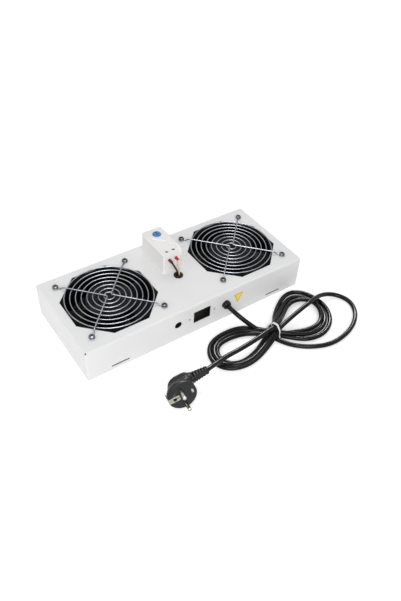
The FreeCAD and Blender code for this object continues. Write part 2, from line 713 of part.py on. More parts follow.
def make_rotor(side, x):
    """Steel can pressed into the hub, the cage inside it, the shaft and its clip."""
    outer = "hub_radius - hub_wall - press_gap"
    top = "fan_depth - hub_top_gap - hub_wall"
    low = "hub_base + 2"
    can = turned_part("can_" + side, [
        (outer, low), (outer, top), ("shaft_radius + press_gap", top),
        ("shaft_radius + press_gap", top + " - rotor_wall"), (outer + " - rotor_wall", top + " - rotor_wall"),
        (outer + " - rotor_wall", low)], x, "0", FAN_BASE)
    finished(can, "rotor_can_" + side)

    cage_outer, cage_inner = outer + " - rotor_wall - press_gap", "stator_radius + air_gap"
    cage = turned_part("cage_" + side, [
        (cage_inner, "stator_base"), (cage_outer, "stator_base"),
        (cage_outer, "stator_base + stator_height"), (cage_inner, "stator_base + stator_height")],
        x, "0", FAN_BASE)
    finished(cage, "rotor_cage_" + side)

    shaft = turned_part("shaft_body_" + side, [
        ("0", "motor_plate_height + 1"), ("shaft_radius - 0.4", "motor_plate_height + 1"),
        ("shaft_radius", "motor_plate_height + 1.4"), ("shaft_radius", top), ("0", top)], x, "0", FAN_BASE)
    finished(shaft, "fan_shaft_" + side)

    clip_low = "motor_plate_height + bearing_length - 1.2"
    clip = turned_part("clip_body_" + side, [
        ("shaft_radius + press_gap", clip_low), ("bearing_radius - 0.6", clip_low),
        ("bearing_radius - 0.6", clip_low + " + 0.8"), ("shaft_radius + press_gap", clip_low + " + 0.8")],
        x, "0", FAN_BASE)
    finished(clip, "shaft_clip_" + side)


# ---------------------------------------------------------------- guards and fan screws

def make_guard_rings(side, x):
    """Concentric wire rings, evenly spaced."""
    rings = []
    for k in range(int(size("ring_count"))):
        ring = doc.addObject("Part::Torus", "ring_%s_%d" % (side, k + 1))
        ring.setExpression("Radius1", linked("ring_inner + (ring_outer - ring_inner) * %d / (ring_count - 1)" % k))
        ring.setExpression("Radius2", linked("ring_wire / 2"))
        put(ring, x, "0", "tray_height + ring_height")
        rings.append(ring)
    group = doc.addObject("Part::Compound", "rings_" + side)
    group.Links = rings
    finished(group, "guard_rings_" + side)


def make_guard_spokes(side, x_sign):
    """Two bent wires; each joins two feet through a bend near the guard's centre."""
    wire = size("spoke_wire") / 2
    foot_z = size("tray_height") + wire
    ring_top = size("tray_height") + size("ring_height") + size("ring_wire") / 2
    rest_z = ring_top + wire - size("weld_depth")
    foot = size("fan_hole_pitch") / 2
    eye = size("screw_radius") + 4 * size("seat_gap") + wire
    solids = []
    for sign in (-1, 1):
        bend = Vector(sign * size("spoke_gap") / 2, 0, rest_z)
        arms = []
        for y_sign in (1, -1):
            outward = Vector(sign * foot, y_sign * foot, rest_z) - bend
            reach = outward.Length
            outward.normalize()
            stations = ((reach - eye, foot_z), (reach - eye - 3, foot_z), (size("ring_outer") + 2, rest_z))
            arms.append([Vector(bend.x + outward.x * r, outward.y * r, z) for r, z in stations])
        points = arms[0] + [bend] + arms[1][::-1]
        solid = tube("guard spoke", points, wire, bend=2 * wire + 1)
        for y_sign in (1, -1):
            eyelet = Part.makeTorus(eye, wire, Vector(sign * foot, y_sign * foot, foot_z))
            solid = solid.fuse(eyelet)
        solids.append(solid)
    place = Placement(Vector(x_sign * size("fan_spacing") / 2, 0, 0), Rotation())
    shaped("guard_spokes_" + side, Part.Compound(solids), place)


def fan_screw_places(z, rotation=Rotation()):
    places = []
    for fan in (-1, 1):
        for x_sign in (-1, 1):
            for y_sign in (-1, 1):
                x = fan * size("fan_spacing") / 2 + x_sign * size("fan_hole_pitch") / 2
                places.append(Placement(Vector(x, y_sign * size("fan_hole_pitch") / 2, z), rotation))
    return places


def pan_screw(name, radius, length, head_radius, head_height):
    """Screw along -Z from the underside of its domed head, with a cross-cut recess."""
    length, head_radius, head_height = "(%s)" % length, "(%s)" % head_radius, "(%s)" % head_height
    screw = turned_part(name, [
        ("0", "-" + length), (radius, "-" + length), (radius, "0"), (head_radius, "0"),
        (head_radius, head_height + " / 2"), (head_radius + " * 0.8", head_height + " * 0.85"),
        (head_radius + " * 0.5", head_height), ("0", head_height)])
    recess = new_sketch(screw, "XY_Plane", head_height)
    arm, half = head_radius + " * 0.55", head_radius + " * 0.12"
    polygon(recess, [
        (arm, half), (half, half), (half, arm), ("-" + half, arm), ("-" + half, half), ("-" + arm, half),
        ("-" + arm, "-" + half), ("-" + half, "-" + half), ("-" + half, "-" + arm), (half, "-" + arm),
        (half, "-" + half), (arm, "-" + half)])
    pocket(screw, recess, head_height + " * 0.5")
    return screw


def hex_nut(name, flats, radius, height):
    """Nut standing on its own XY plane."""
    nut = new_body(name)
    sketch = new_sketch(nut, "XY_Plane")
    half, corner = flats + " / 2", flats + " / sqrt(3)"
    polygon(sketch, [
        (corner, "0"), (corner + " / 2", half), ("-" + corner + " / 2", half),
        ("-" + corner, "0"), ("-" + corner + " / 2", "-" + half), (corner + " / 2", "-" + half)])
    circle(sketch, "0", "0", radius + " + thread_gap")
    pad(nut, sketch, height)
    return nut


def make_fan_screws():
    screw = pan_screw("fan_screw", "screw_radius", "screw_length", "screw_head_radius", "screw_head_height")
    make_copies("guard_screws", screw, fan_screw_places(size("tray_height") + size("spoke_wire")))
    nut = hex_nut("fan_nut", "nut_flats", "screw_radius", "nut_height")
    under = size("tray_height") - size("sheet_thickness") - size("fan_flange") - size("nut_height")
    make_copies("guard_nuts", nut, fan_screw_places(under))


# ---------------------------------------------------------------- thermostat

def thermostat_point(x="0", y="0", z="0"):
    """Position from the middle of the thermostat's foot on the panel."""
    return "thermostat_x + " + x, "thermostat_y + " + y, "tray_height + " + z


TERMINAL_Y = "terminal_inset + terminal_length / 2 - thermostat_length / 2"
WIRE_HEIGHT = "terminal_seat + terminal_height / 2"


def make_thermostat_base():
    """Lower shell with the screw posts, the dial's boss and the terminal seats."""
    body = new_body("base_body", *thermostat_point())
    outline = new_sketch(body, "XY_Plane")
    rectangle(outline, "0", "0", "thermostat_width", "thermostat_length")
    pad(body, outline, "base_height")
    round_edges(body, "thermostat_corner", is_upright)

    hollow = new_sketch(body, "XY_Plane", "base_height")
    rectangle(hollow, "0", "0", "thermostat_width - 2 * thermostat_wall",
              "thermostat_length - 2 * thermostat_wall")
    pocket(body, hollow, "base_height - base_floor")

    seats = new_sketch(body, "XY_Plane", "base_floor")
    for sign in (-1, 1):
        rectangle(seats, "%d * terminal_pitch / 2" % sign, TERMINAL_Y, "terminal_width", "terminal_length")
    pad(body, seats, "terminal_seat - base_floor")

    posts = new_sketch(body, "XY_Plane", "base_floor")
    for post in ("front_post_y", "rear_post_y"):
        circle(posts, "0", post, "post_radius")
    pad(body, posts, "post_height - base_floor")

    stand = new_sketch(body, "XY_Plane", "base_floor")
    rectangle(stand, "strip_x", "0", "strip_width", "strip_width")
    pad(body, stand, "strip_height - base_floor")

    boss = new_sketch(body, "XY_Plane", "base_floor")
    circle(boss, "dial_x", "dial_y", "boss_radius")
    circle(boss, "dial_x", "dial_y", "dial_shaft_radius + running_gap")
    pad(body, boss, "boss_height - base_floor")

    pilots = new_sketch(body, "XY_Plane")
    for post in ("front_post_y", "rear_post_y"):
        circle(pilots, "0", post, "small_screw_radius + thread_gap")
    pocket(body, pilots, "post_height", reverse=True)
    finished(body, "thermostat_base")


def make_thermostat_cover():
    """Cover with the raised dial field at the back and the lower field in front of it."""
    body = new_body("cover_body", *thermostat_point(z="base_height"))
    outline = new_sketch(body, "XY_Plane")
    rectangle(outline, "0", "0", "thermostat_width", "thermostat_length")
    pad(body, outline, "thermostat_height - base_height")
    round_edges(body, "thermostat_corner", is_upright)
    high = size("thermostat_height") - size("base_height") - 0.1
    round_edges(body, "thermostat_edge", lambda edge: edge.BoundBox.ZMin > high)

    top = "thermostat_height - base_height"
    half_x, half_y = "thermostat_width / 2", "thermostat_length / 2"
    field = new_sketch(body, "XY_Plane", top)
    ridge = [(-1, 0.84), (-0.78, 0.6), (-0.5, 0.36), (-0.2, 0.17), (0.12, 0.02), (0.4, -0.16), (0.6, -0.4),
             (0.68, -0.7)]
    curve = [("%g * %s" % (x, half_x), "%g * %s" % (y, half_y)) for x, y in ridge]
    polygon(field, [("-1 - " + half_x, curve[0][1])] + curve + [
        (curve[-1][0], "-1 - " + half_y), ("-1 - " + half_x, "-1 - " + half_y)])
    pocket(body, field, "step_depth")

    brow = new_sketch(body, "YZ_Plane", curve[-1][0])
    polygon(brow, [("-1 - " + half_y, top + " + 1"), ("16 - " + half_y, top + " + 1"), ("16 - " + half_y, top),
                   ("11 - " + half_y, top + " - 0.6"), ("7 - " + half_y, top + " - 2"),
                   ("3.6 - " + half_y, top + " - 4.4"), ("1.2 - " + half_y, top + " - 8"),
                   ("-" + half_y, top + " - 13"), ("-1 - " + half_y, top + " - 13")])
    pocket(body, brow, half_x, reverse=True)

    recess = new_sketch(body, "XY_Plane")
    rectangle(recess, "0", "recess_depth / 2 - " + half_y, "thermostat_width - 2 * wing_width", "recess_depth")
    pocket(body, recess, top, reverse=True)

    hollow = new_sketch(body, "XY_Plane")
    rectangle(hollow, "0", "recess_depth / 2", "thermostat_width - 2 * thermostat_wall",
              "thermostat_length - recess_depth - 2 * thermostat_wall")
    pocket(body, hollow, top + " - thermostat_roof", reverse=True)

    holes = new_sketch(body, "XY_Plane", top)
    circle(holes, "dial_x", "dial_y", "dial_radius + dial_gap")
    for sign in (-1, 1):
        circle(holes, "%d * terminal_pitch / 2" % sign, TERMINAL_Y, "driver_hole_radius")
    pocket(body, holes, "thermostat_roof + 1")

    entries = new_sketch(body, "XZ_Plane", "thermostat_length / 2")
    for sign in (-1, 1):
        circle(entries, "%d * terminal_pitch / 2" % sign, WIRE_HEIGHT + " - base_height", "wire_entry_radius")
    pocket(body, entries, "recess_depth + 1.5 * thermostat_wall")
    finished(body, "thermostat_cover")


def make_thermostat_dial():
    """Dial on its shaft, with a screwdriver slot."""
    top = "thermostat_height + dial_rise"
    low = "thermostat_height - thermostat_roof"
    dial = turned_part("dial_body", [
        ("0", "base_floor + 0.3"), ("dial_shaft_radius", "base_floor + 0.3"), ("dial_shaft_radius", low),
        ("dial_radius", low), ("dial_radius", top + " - 0.5"), ("dial_radius - 0.5", top), ("0", top)],
        *thermostat_point("dial_x", "dial_y"))
    groove = new_sketch(dial, "XY_Plane", top)
    rectangle(groove, "0", "0", "dial_slot", "2 * dial_radius - 3")
    pocket(dial, groove, "dial_rise")
    finished(dial, "thermostat_dial")


def make_thermostat_inside():
    """Bimetal strip, terminal cages and their screws."""
    strip = block("strip_block", "strip_width", "strip_length", "strip_thickness",
                  *thermostat_point("strip_x - strip_width / 2", "-strip_length / 2", "strip_height"))
    finished(strip, "bimetal_strip")

    cage = new_body("cage_body")
    outline = new_sketch(cage, "XY_Plane")
    rectangle(outline, "0", "0", "terminal_width", "terminal_length")
    pad(cage, outline, "terminal_height")
    bore = new_sketch(cage, "XZ_Plane", "terminal_length / 2")
    circle(bore, "0", "terminal_height / 2", "terminal_bore_radius")
    pocket(cage, bore, "terminal_length - 1")
    thread = new_sketch(cage, "XY_Plane", "terminal_height")
    circle(thread, "0", "0", "terminal_screw_radius + thread_gap")
    pocket(cage, thread, "terminal_height / 2")

    screw = pan_screw("cage_screw", "terminal_screw_radius", "terminal_screw_length - thread_gap",
                      "driver_hole_radius - 0.1", "small_head_height * 0.9")
    middle_y = (size("thermostat_y") - size("thermostat_length") / 2 + size("terminal_inset")
                + size("terminal_length") / 2)
    seat = size("tray_height") + size("terminal_seat")
    xs = [size("thermostat_x") + sign * size("terminal_pitch") / 2 for sign in (-1, 1)]
    make_copies("thermostat_terminals", cage, [Placement(Vector(x, middle_y, seat), Rotation()) for x in xs])
    head = seat + size("terminal_height")
    make_copies("terminal_screws", screw, [Placement(Vector(x, middle_y, head), Rotation()) for x in xs])


def make_thermostat_screws():
    """Screws from under the panel into the posts of the base."""
    screw = pan_screw("post_screw", "small_screw_radius", "small_screw_length", "small_head_radius",
                      "small_head_height")
    under = size("tray_height") - size("sheet_thickness")
    ys = [size("thermostat_y") + size(post) for post in ("front_post_y", "rear_post_y")]
    turned = Rotation(X_AXIS, 180)
    places = [Placement(Vector(size("thermostat_x"), y, under), turned) for y in ys]
    make_copies("thermostat_screws", screw, places)


def make_ferrules():
    """Insulated ferrule on the end of each thermostat wire."""
    for name, sign in (("black", -1), ("cream", 1)):
        ferrule = turned_part("ferrule_body_" + name, [
            ("0", "-ferrule_pin_length"), ("ferrule_pin_radius", "-ferrule_pin_length"),
            ("ferrule_pin_radius", "0"), ("sleeve_radius * 0.75", "0"), ("sleeve_radius", "1"),
            ("sleeve_radius", "sleeve_length"), ("0", "sleeve_length")],
            "thermostat_x + %d * terminal_pitch / 2" % sign,
            "thermostat_y - thermostat_length / 2 + sleeve_length - sleeve_reach",
            "tray_height + " + WIRE_HEIGHT, Rotation(X_AXIS, 90))
        finished(ferrule, "ferrule_" + name)


# ---------------------------------------------------------------- grommet, gland, label

def make_grommet():
    """Rubber grommet with a groove for the panel's edge."""
    neck = "grommet_hole_radius - seat_gap"
    low = "-(sheet_thickness + 0.9 * grommet_rise)"
    grommet = turned_part("grommet_body", [
        ("grommet_bore_radius", low), (neck + " + 1", low), (neck + " + 1", "-sheet_thickness"),
        (neck, "-sheet_thickness"), (neck, "0"), ("grommet_radius", "0"),
        ("grommet_radius", "0.5 * grommet_rise"), ("0.8 * grommet_radius", "0.9 * grommet_rise"),
        ("0.6 * grommet_radius", "grommet_rise"), ("grommet_bore_radius", "0.7 * grommet_rise")],
        "grommet_x", "grommet_y", "tray_height")
    finished(grommet, "wire_grommet")


def make_gland():
    """Bushing that grips the lead; its own Z points out of the tray's front."""
    bore = "cord_radius + wire_gap"
    neck = "gland_hole_radius - seat_gap"
    gland = turned_part("gland_body", [
        (bore, "-(sheet_thickness + gland_nut_length)"), ("gland_nut_radius", "-(sheet_thickness + gland_nut_length)"),
        ("gland_nut_radius", "-sheet_thickness"), (neck, "-sheet_thickness"), (neck, "0"),
        ("gland_head_radius", "0"), ("gland_head_radius", "0.75 * gland_reach"),
        ("gland_tip_radius", "gland_reach"), (bore, "gland_reach")],
        "gland_x", "-tray_depth / 2", "gland_z", Rotation(X_AXIS, 90))
    finished(gland, "cable_gland")


def make_label():
    """Plain triangular label, point down."""
    label = new_body("label_body", "label_x", "-tray_depth / 2", "label_top")
    sketch = new_sketch(label, "XZ_Plane")
    polygon(sketch, [("-label_width / 2", "0"), ("0", "-label_height"), ("label_width / 2", "0")])
    pad(label, sketch, "label_thickness")
    finished(label, "triangle_label")


# ---------------------------------------------------------------- wiring inside

BLOCK_FRONT = "tray_depth / 2 - sheet_thickness - block_depth"


def entry_point(column, row):
    """End of a wire in the terminal block: column from -1.5 to 1.5, row 0 or 1."""
    front = size("tray_depth") / 2 - size("sheet_thickness") - size("block_depth")
    z = size("block_base") + size("block_row") + row * size("block_row_gap")
    return column * size("block_pitch"), front + size("wire_reach"), z


ENTRIES = [(-1.5, 1, "fan_lead_radius"), (-0.5, 1, "hookup_radius"), (0.5, 1, "hookup_radius"),
           (1.5, 1, "fan_lead_radius"), (-1.5, 0, "core_radius"), (-0.5, 0, "core_radius"),
           (0.5, 0, "core_radius"), (1.5, 0, "core_radius")]


def make_terminal_block():
    """Push-in block on the rear wall; every wire enters it from the front."""
    body = new_body("block_body", "0", "tray_depth / 2 - sheet_thickness", "block_base")
    outline = new_sketch(body, "XY_Plane")
    rectangle(outline, "0", "-block_depth / 2", "block_width", "block_depth")
    pad(body, outline, "block_height")
    entries = new_sketch(body, "XZ_Plane", "block_depth")
    for column, row, radius in ENTRIES:
        circle(entries, "%s * block_pitch" % column, "block_row + %d * block_row_gap" % row, radius + " + wire_gap")
    pocket(body, entries, "block_entry_depth")
    holes = new_sketch(body, "XZ_Plane", "block_depth")
    for sign in (-1, 1):
        circle(holes, "%d * block_screw_spacing / 2" % sign, "block_height / 2", "small_hole_radius")
    pocket(body, holes, "block_depth")
    finished(body, "terminal_block")

    screw = pan_screw("block_screw", "small_screw_radius", "block_depth + sheet_thickness",
                      "small_head_radius", "small_head_height")
    front = size("tray_depth") / 2 - size("sheet_thickness") - size("block_depth")
    z = size("block_base") + size("block_height") / 2
    places = [Placement(Vector(sign * size("block_screw_spacing") / 2, front, z), Rotation(X_AXIS, 90))
              for sign in (-1, 1)]
    make_copies("block_screws", screw, places)


def make_earth_bond():
    """Ring tag under the head of a screw in the rear wall."""
    wall = "tray_depth / 2 - sheet_thickness"
    tag = new_body("tag_body", "earth_x", wall, "earth_z")
    ring = new_sketch(tag, "XZ_Plane")
    circle(ring, "0", "0", "tag_radius")
    circle(ring, "0", "0", "screw_hole_radius")
    pad(tag, ring, "tag_thickness")
    barrel = new_sketch(tag, "XY_Plane", "tag_radius - 0.5")
    circle(barrel, "0", "-barrel_radius - wire_gap", "barrel_radius")
    pad(tag, barrel, "barrel_length")
    finished(tag, "earth_tag")

    screw = pan_screw("bond_screw", "screw_radius", "tag_thickness + sheet_thickness", "screw_head_radius",
                      "screw_head_height")
    put(screw, "earth_x", wall + " - tag_thickness", "earth_z", Rotation(X_AXIS, 90))
    finished(screw, "earth_screw")


def bay_point(across, along, z):
    """Point between the fans, as shares of half the gap's width and of the tray's depth from its front."""
    return across * size("bay_half_width"), (along - 0.5) * size("tray_depth"), z


def make_cores():
    """The lead's three cores, from the end of its sheath to the block and the earth tag."""
    x, z = size("gland_x"), size("gland_z")
    y = -size("tray_depth") / 2 + size("sheet_thickness") + size("sheath_inside")
    radius = size("core_radius")
    lay = 1.25 * radius
    low = size("block_base") + size("block_row")
    for name, column, start, drop in (("live", 1.5, (x - lay, y, z - lay / 2), 3 * radius),
                                      ("neutral", 0.5, (x, y, z + lay), 0)):
        end_x, end_y, end_z = entry_point(column, 0)
        points = [start, bay_point(0.52 + 0.08 * column, 0.14, low - drop),
                  bay_point(0.2 + 0.2 * column, 0.37, low - drop),
                  (0.6 * end_x, 0.12 * size("tray_depth"), low - drop),
                  (end_x, end_y - 2.5 * size("block_entry_depth"), end_z), (end_x, end_y, end_z)]
        shaped("core_" + name, tube("core_" + name, points, radius))

    tag_x, tag_y = size("earth_x"), size("tray_depth") / 2 - size("sheet_thickness") - size("barrel_radius")
    tag_y = tag_y - size("wire_gap")
    barrel_end = size("earth_z") + size("tag_radius") - 0.5 + size("barrel_length")
    high = barrel_end + 4 * radius
    shaped("core_earth", tube("core_earth", [
        (x + lay, y, z - lay / 2), bay_point(0.88, 0.15, z + radius), bay_point(0.88, 0.38, high - 2 * radius),
        bay_point(0.9, 0.65, high), bay_point(0.9, 0.85, high), (tag_x, tag_y, high),
        (tag_x, tag_y, barrel_end)], radius))


def make_fan_leads():
    """Two-core lead from each fan's frame to the block."""
    inner_side = size("bay_half_width")
    radius = size("fan_lead_radius")
    z = size("tray_height") - size("sheet_thickness") - size("fan_depth") + size("fan_flange") / 2
    y = size("fan_lead_y")
    end_x, end_y, end_z = entry_point(1.5, 1)
    for side, sign in (("left", -1), ("right", 1)):
        route = [(inner_side, y, z), (inner_side - 3.5 * radius, y + radius, z + radius),
                 ((inner_side + end_x) / 2 - radius, y + 0.3 * (end_y - y), (z + end_z) / 2 + 2 * radius),
                 (end_x, end_y - 2.2 * size("block_entry_depth"), end_z), (end_x, end_y, end_z)]
        points = [(sign * point[0], point[1], point[2]) for point in route]
        shaped("fan_lead_" + side, tube("fan_lead_" + side, points, radius))


def make_thermostat_wires():
    """From the ferrules over the front of the thermostat, through the grommet, to the block."""
    start_y = size("thermostat_y") - size("thermostat_length") / 2 - size("sleeve_reach")
    start_z = size("tray_height") + size("terminal_seat") + size("terminal_height") / 2
    panel = size("tray_height")
    hole_x, hole_y = size("grommet_x"), size("grommet_y")
    for name, sign, column in (("black", -1, -0.5), ("cream", 1, 0.5)):
        start_x = size("thermostat_x") + sign * size("terminal_pitch") / 2
        pass_x = hole_x + sign * (size("hookup_radius") + 0.05)
        end_x, end_y, end_z = entry_point(column, 1)
        points = [(start_x, start_y, start_z), (start_x + (pass_x - start_x) * 0.2, start_y - 3.8, start_z - 3.6),
                  (pass_x, hole_y, panel + 7.5), (pass_x, hole_y + 0.2, panel - 6),
                  (pass_x + (end_x - pass_x) * 0.5, hole_y + 14, end_z + 1), (end_x, end_y - 32, end_z),
                  (end_x, end_y, end_z)]
        shaped("wire_" + name, tube("wire_" + name, points, size("hookup_radius")))


# ---------------------------------------------------------------- mains lead

def make_cord():
    """Lead, figure-of-eight turns, one wider loop and the tail to the plug."""
    radius = size("cord_radius")
    floor = radius
    x, z = size("gland_x"), size("gland_z")
    inner_end = -size("tray_depth") / 2 + size("sheet_thickness") + size("sheath_inside")
    lead = [(x, inner_end, z), (x, -87, z), (47, -104, 18), (59, -113, 8), (67.5, -126, floor),
            (72.5, -140.5, floor)]
    shaped("cord_lead", tube("cord_lead", lead, radius))

    loop = [(75, -147, floor), (85, -165, floor), (104, -181.5, floor), (130, -192, floor), (160, -192, floor),
            (188, -182.5, floor), (207, -166, floor), (214.5, -146, floor), (210, -127, floor), (194, -116, 7),
            (174, -116.5, 14.5), (155, -121, 17), (136, -125.5, 16.5), (118, -130, 13.5), (103, -134.5, 11),
            (90.5, -138.6, 11)]
    shaped("cord_loop", tube("cord_loop", loop, radius))

    plug = plug_placement()
    boot_end = plug.multVec(Vector(size("plug_arm_length") + size("boot_length"), 0, -size("plug_axis_depth")))
    tail = [boot_end, (-29, -148, 21.5), (-10, -144.5, 19), (13, -142.5, 17), (38, -141, 17), (59, -138, 17.5),
            (74, -132, 16.5)]
    shaped("cord_tail", tube("cord_tail", tail, radius))

    height = size("hank_height")
    left = closed_curve([(80, -128), (60, -115), (40, -104), (17, -99), (-5, -103), (-19, -114), (-24, -131),
                         (-18, -146), (-5, -157), (14, -161.5), (37, -158), (60, -149), (80, -141)], height)
    left_hole = closed_curve([(50, -133), (36, -123), (18, -117), (2, -120), (-6, -128), (-5, -139), (5, -146),
                              (22, -148), (40, -144)], height)
    right = closed_curve([(72, -131), (88, -113), (108, -98), (133, -88), (157, -91), (173, -106), (178, -127),
                          (171, -149), (157, -165), (134, -176), (110, -176), (88, -164), (72, -146)], height)
    right_hole = closed_curve([(94, -134), (109, -122), (128, -111), (145, -109), (156, -117), (159, -130),
                               (151, -145), (134, -155), (115, -154), (100, -147)], height)
    length, width = size("knot_length"), size("knot_width")
    knot = Part.makeBox(length, width, size("knot_height"), Vector(-length / 2, -width / 2, 0))
    knot.Placement = KNOT
    turns = left.cut(left_hole).fuse([right.cut(right_hole), knot]).removeSplitter()
    shaped("cord_hank", turns)


KNOT = Placement(Vector(77, -136, 0), Rotation(Z_AXIS, 52))


def make_tie():
    """Plastic-covered wire bent round the crossing."""
    band, width = size("tie_thickness"), size("tie_width")
    inside_y, inside_z = size("knot_width"), size("knot_height")
    outer = Part.makeBox(width, inside_y + 2 * band, inside_z + 2 * band,
                         Vector(-width / 2, -inside_y / 2 - band, 0))
    outer = outer.makeFillet(3, [edge for edge in outer.Edges if edge.Length < width + 0.01])
    inner = Part.makeBox(width, inside_y, inside_z, Vector(-width / 2, -inside_y / 2, band))
    inner = inner.makeFillet(3 - band, [edge for edge in inner.Edges if edge.Length < width + 0.01])
    shaped("cord_tie", outer.cut(inner), KNOT)


# ---------------------------------------------------------------- plug

def plug_placement():
    """The plug's own frame: origin at its face, Z along the pins, X along the lead's axis."""
    pins = Vector(-0.23, -0.93, 0.28).normalize()
    lead = Vector(0.95, -0.16, 0.26)
    lead = (lead - pins * lead.dot(pins)).normalize()
    lowest = size("plug_face_radius") * math.sqrt(1 - pins.z ** 2) + size("plug_rim") * pins.z
    return Placement(Vector(-93, -166.6, lowest), Rotation(lead, pins.cross(lead), pins, "ZXY"))


def make_plug():
    frame = plug_placement()
    reach, depth = size("plug_arm_length"), size("plug_axis_depth")
    face, back, rim = size("plug_face_radius"), size("plug_back_radius"), size("plug_rim")
    outline = [(0, 0), (face, 0), (face, -rim), (face - 1.5, -rim - 1), (back, 2 - size("plug_depth")),
               (0.7 * back, -depth - 0.75 * size("plug_arm_radius")), (0, -depth - 0.9 * size("plug_arm_radius"))]
    half_section = Part.Face(Part.makePolygon([Vector(r, 0, z) for r, z in outline + outline[:1]]))
    core = half_section.revolve(Vector(), Z_AXIS, 360)
    arm = Part.makeCylinder(size("plug_arm_radius"), reach, Vector(0, 0, -depth), X_AXIS)
    flat, half = size("plug_flat"), size("contact_width") / 2 + 1
    recesses = [Part.makeBox(size("plug_face_radius"), 2 * half, size("contact_leg") + 1,
                             Vector(x, -half, -size("contact_leg") - 1))
                for x in (flat, -flat - size("plug_face_radius"))]
    earth_hole = Part.makeCylinder(size("contact_hole_radius"), 0.8 * size("pin_length"),
                                   Vector(-size("contact_hole_x"), 0, -0.8 * size("pin_length")))
    shaped("plug_body", core.fuse(arm).cut(Part.Compound(recesses + [earth_hole])), frame)

    boot = Part.makeCone(size("boot_radius"), size("boot_tip_radius"), size("boot_length"),
                         Vector(reach, 0, -depth), X_AXIS)
    shaped("plug_boot", boot, frame)

    pin = turned_part("pin_body", [
        ("0", "0"), ("pin_radius", "0"), ("pin_radius", "pin_length - 1.5"),
        ("0.75 * pin_radius", "pin_length - 0.4"), ("0.4 * pin_radius", "pin_length"), ("0", "pin_length")])
    places = [frame.multiply(Placement(Vector(0, sign * size("pin_spacing") / 2, 0), Rotation()))
              for sign in (-1, 1)]
    make_copies("plug_pins", pin, places)

    width, thick = size("contact_width"), size("contact_thickness")
    leg = size("contact_leg")
    face = Part.makeBox(size("contact_face"), width, thick, Vector(-flat - thick, -width / 2, 0))
    hole = Part.makeCylinder(size("contact_hole_radius"), thick, Vector(-size("contact_hole_x"), 0, 0))
    side = Part.makeBox(thick, width, leg, Vector(-flat - thick, -width / 2, -leg))
    other = Part.makeBox(thick, width, leg, Vector(flat, -width / 2, -leg))
    shaped("plug_earth_contact", Part.Compound([face.cut(hole).fuse(side), other]), frame)


# ---------------------------------------------------------------- build

def main():
    make_tray()
    for side, sign in (("left", -1), ("right", 1)):
        x = "%d * fan_spacing / 2" % sign
        make_fan_frame(side, x)
        make_stator(side, x)
        make_bearings(side, x)
        make_impeller(side, x)
        make_rotor(side, x)
        make_guard_rings(side, x)
        make_guard_spokes(side, sign)
    make_fan_screws()
    make_thermostat_base()
    make_thermostat_cover()
    make_thermostat_dial()
    make_thermostat_inside()
    make_thermostat_screws()
    make_ferrules()
    make_grommet()
    make_gland()
    make_label()
    make_terminal_block()
    make_earth_bond()
    make_cores()
    make_fan_leads()
    make_thermostat_wires()
    make_cord()
    make_tie()
    make_plug()
    doc.recompute()


def check_and_write():
    """Stops at any failed object or bad solid, then writes one STEP file for each sub-part."""
    for item in doc.Objects:
        if "Invalid" in item.State or "Error" in item.State:
            raise RuntimeError("%s failed: %s" % (item.Label, item.State))
    for item in parts:
        shape = item.Shape
        if shape.isNull() or not shape.isValid() or not shape.Solids:
            raise RuntimeError("%s has no valid solid" % item.Label)
    for item in parts:
        item.Shape.exportStep("parts/%s.step" % item.Label)
        print("%-22s %2d solids %10.1f mm3" % (item.Label, len(item.Shape.Solids), item.Shape.Volume))
    print("%d sub-parts" % len(parts))


main()
check_and_write()
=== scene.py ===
"""Rack fan tray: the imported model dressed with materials, its wires, tied mains lead and plug."""
import math
import json

import bpy
import bmesh
from mathutils import Matrix, Vector


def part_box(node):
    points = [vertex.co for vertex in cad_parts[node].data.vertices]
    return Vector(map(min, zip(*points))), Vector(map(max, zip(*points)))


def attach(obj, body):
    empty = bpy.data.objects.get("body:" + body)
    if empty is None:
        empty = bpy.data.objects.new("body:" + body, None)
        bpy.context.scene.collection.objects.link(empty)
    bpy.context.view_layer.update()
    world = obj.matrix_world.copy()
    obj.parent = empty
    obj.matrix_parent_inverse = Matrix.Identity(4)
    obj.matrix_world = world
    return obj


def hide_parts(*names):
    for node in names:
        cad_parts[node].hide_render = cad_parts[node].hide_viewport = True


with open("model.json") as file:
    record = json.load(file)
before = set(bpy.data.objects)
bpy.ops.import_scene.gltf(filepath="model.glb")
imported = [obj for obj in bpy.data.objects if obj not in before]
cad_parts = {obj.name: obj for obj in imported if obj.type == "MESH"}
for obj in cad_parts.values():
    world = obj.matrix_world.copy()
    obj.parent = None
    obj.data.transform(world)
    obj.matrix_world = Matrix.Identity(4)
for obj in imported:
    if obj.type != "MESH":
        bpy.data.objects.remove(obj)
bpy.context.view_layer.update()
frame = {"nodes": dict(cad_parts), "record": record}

MM = 0.001
CORD_RADIUS = 0.00325
BODY = "tray_assembly"
SHARP = 0.7  # radians between two faces, from which their edge is drawn crisp
SOCKETS = {"metallic": "Metallic", "specular": "Specular IOR Level"}


# ---------------------------------------------------------------- materials

def linear(value):
    return value / 12.92 if value <= 0.04045 else ((value + 0.055) / 1.055) ** 2.4


def colour(text):
    """Linear RGBA from six hexadecimal digits."""
    return tuple(linear(int(text[i:i + 2], 16) / 255) for i in (0, 2, 4)) + (1.0,)


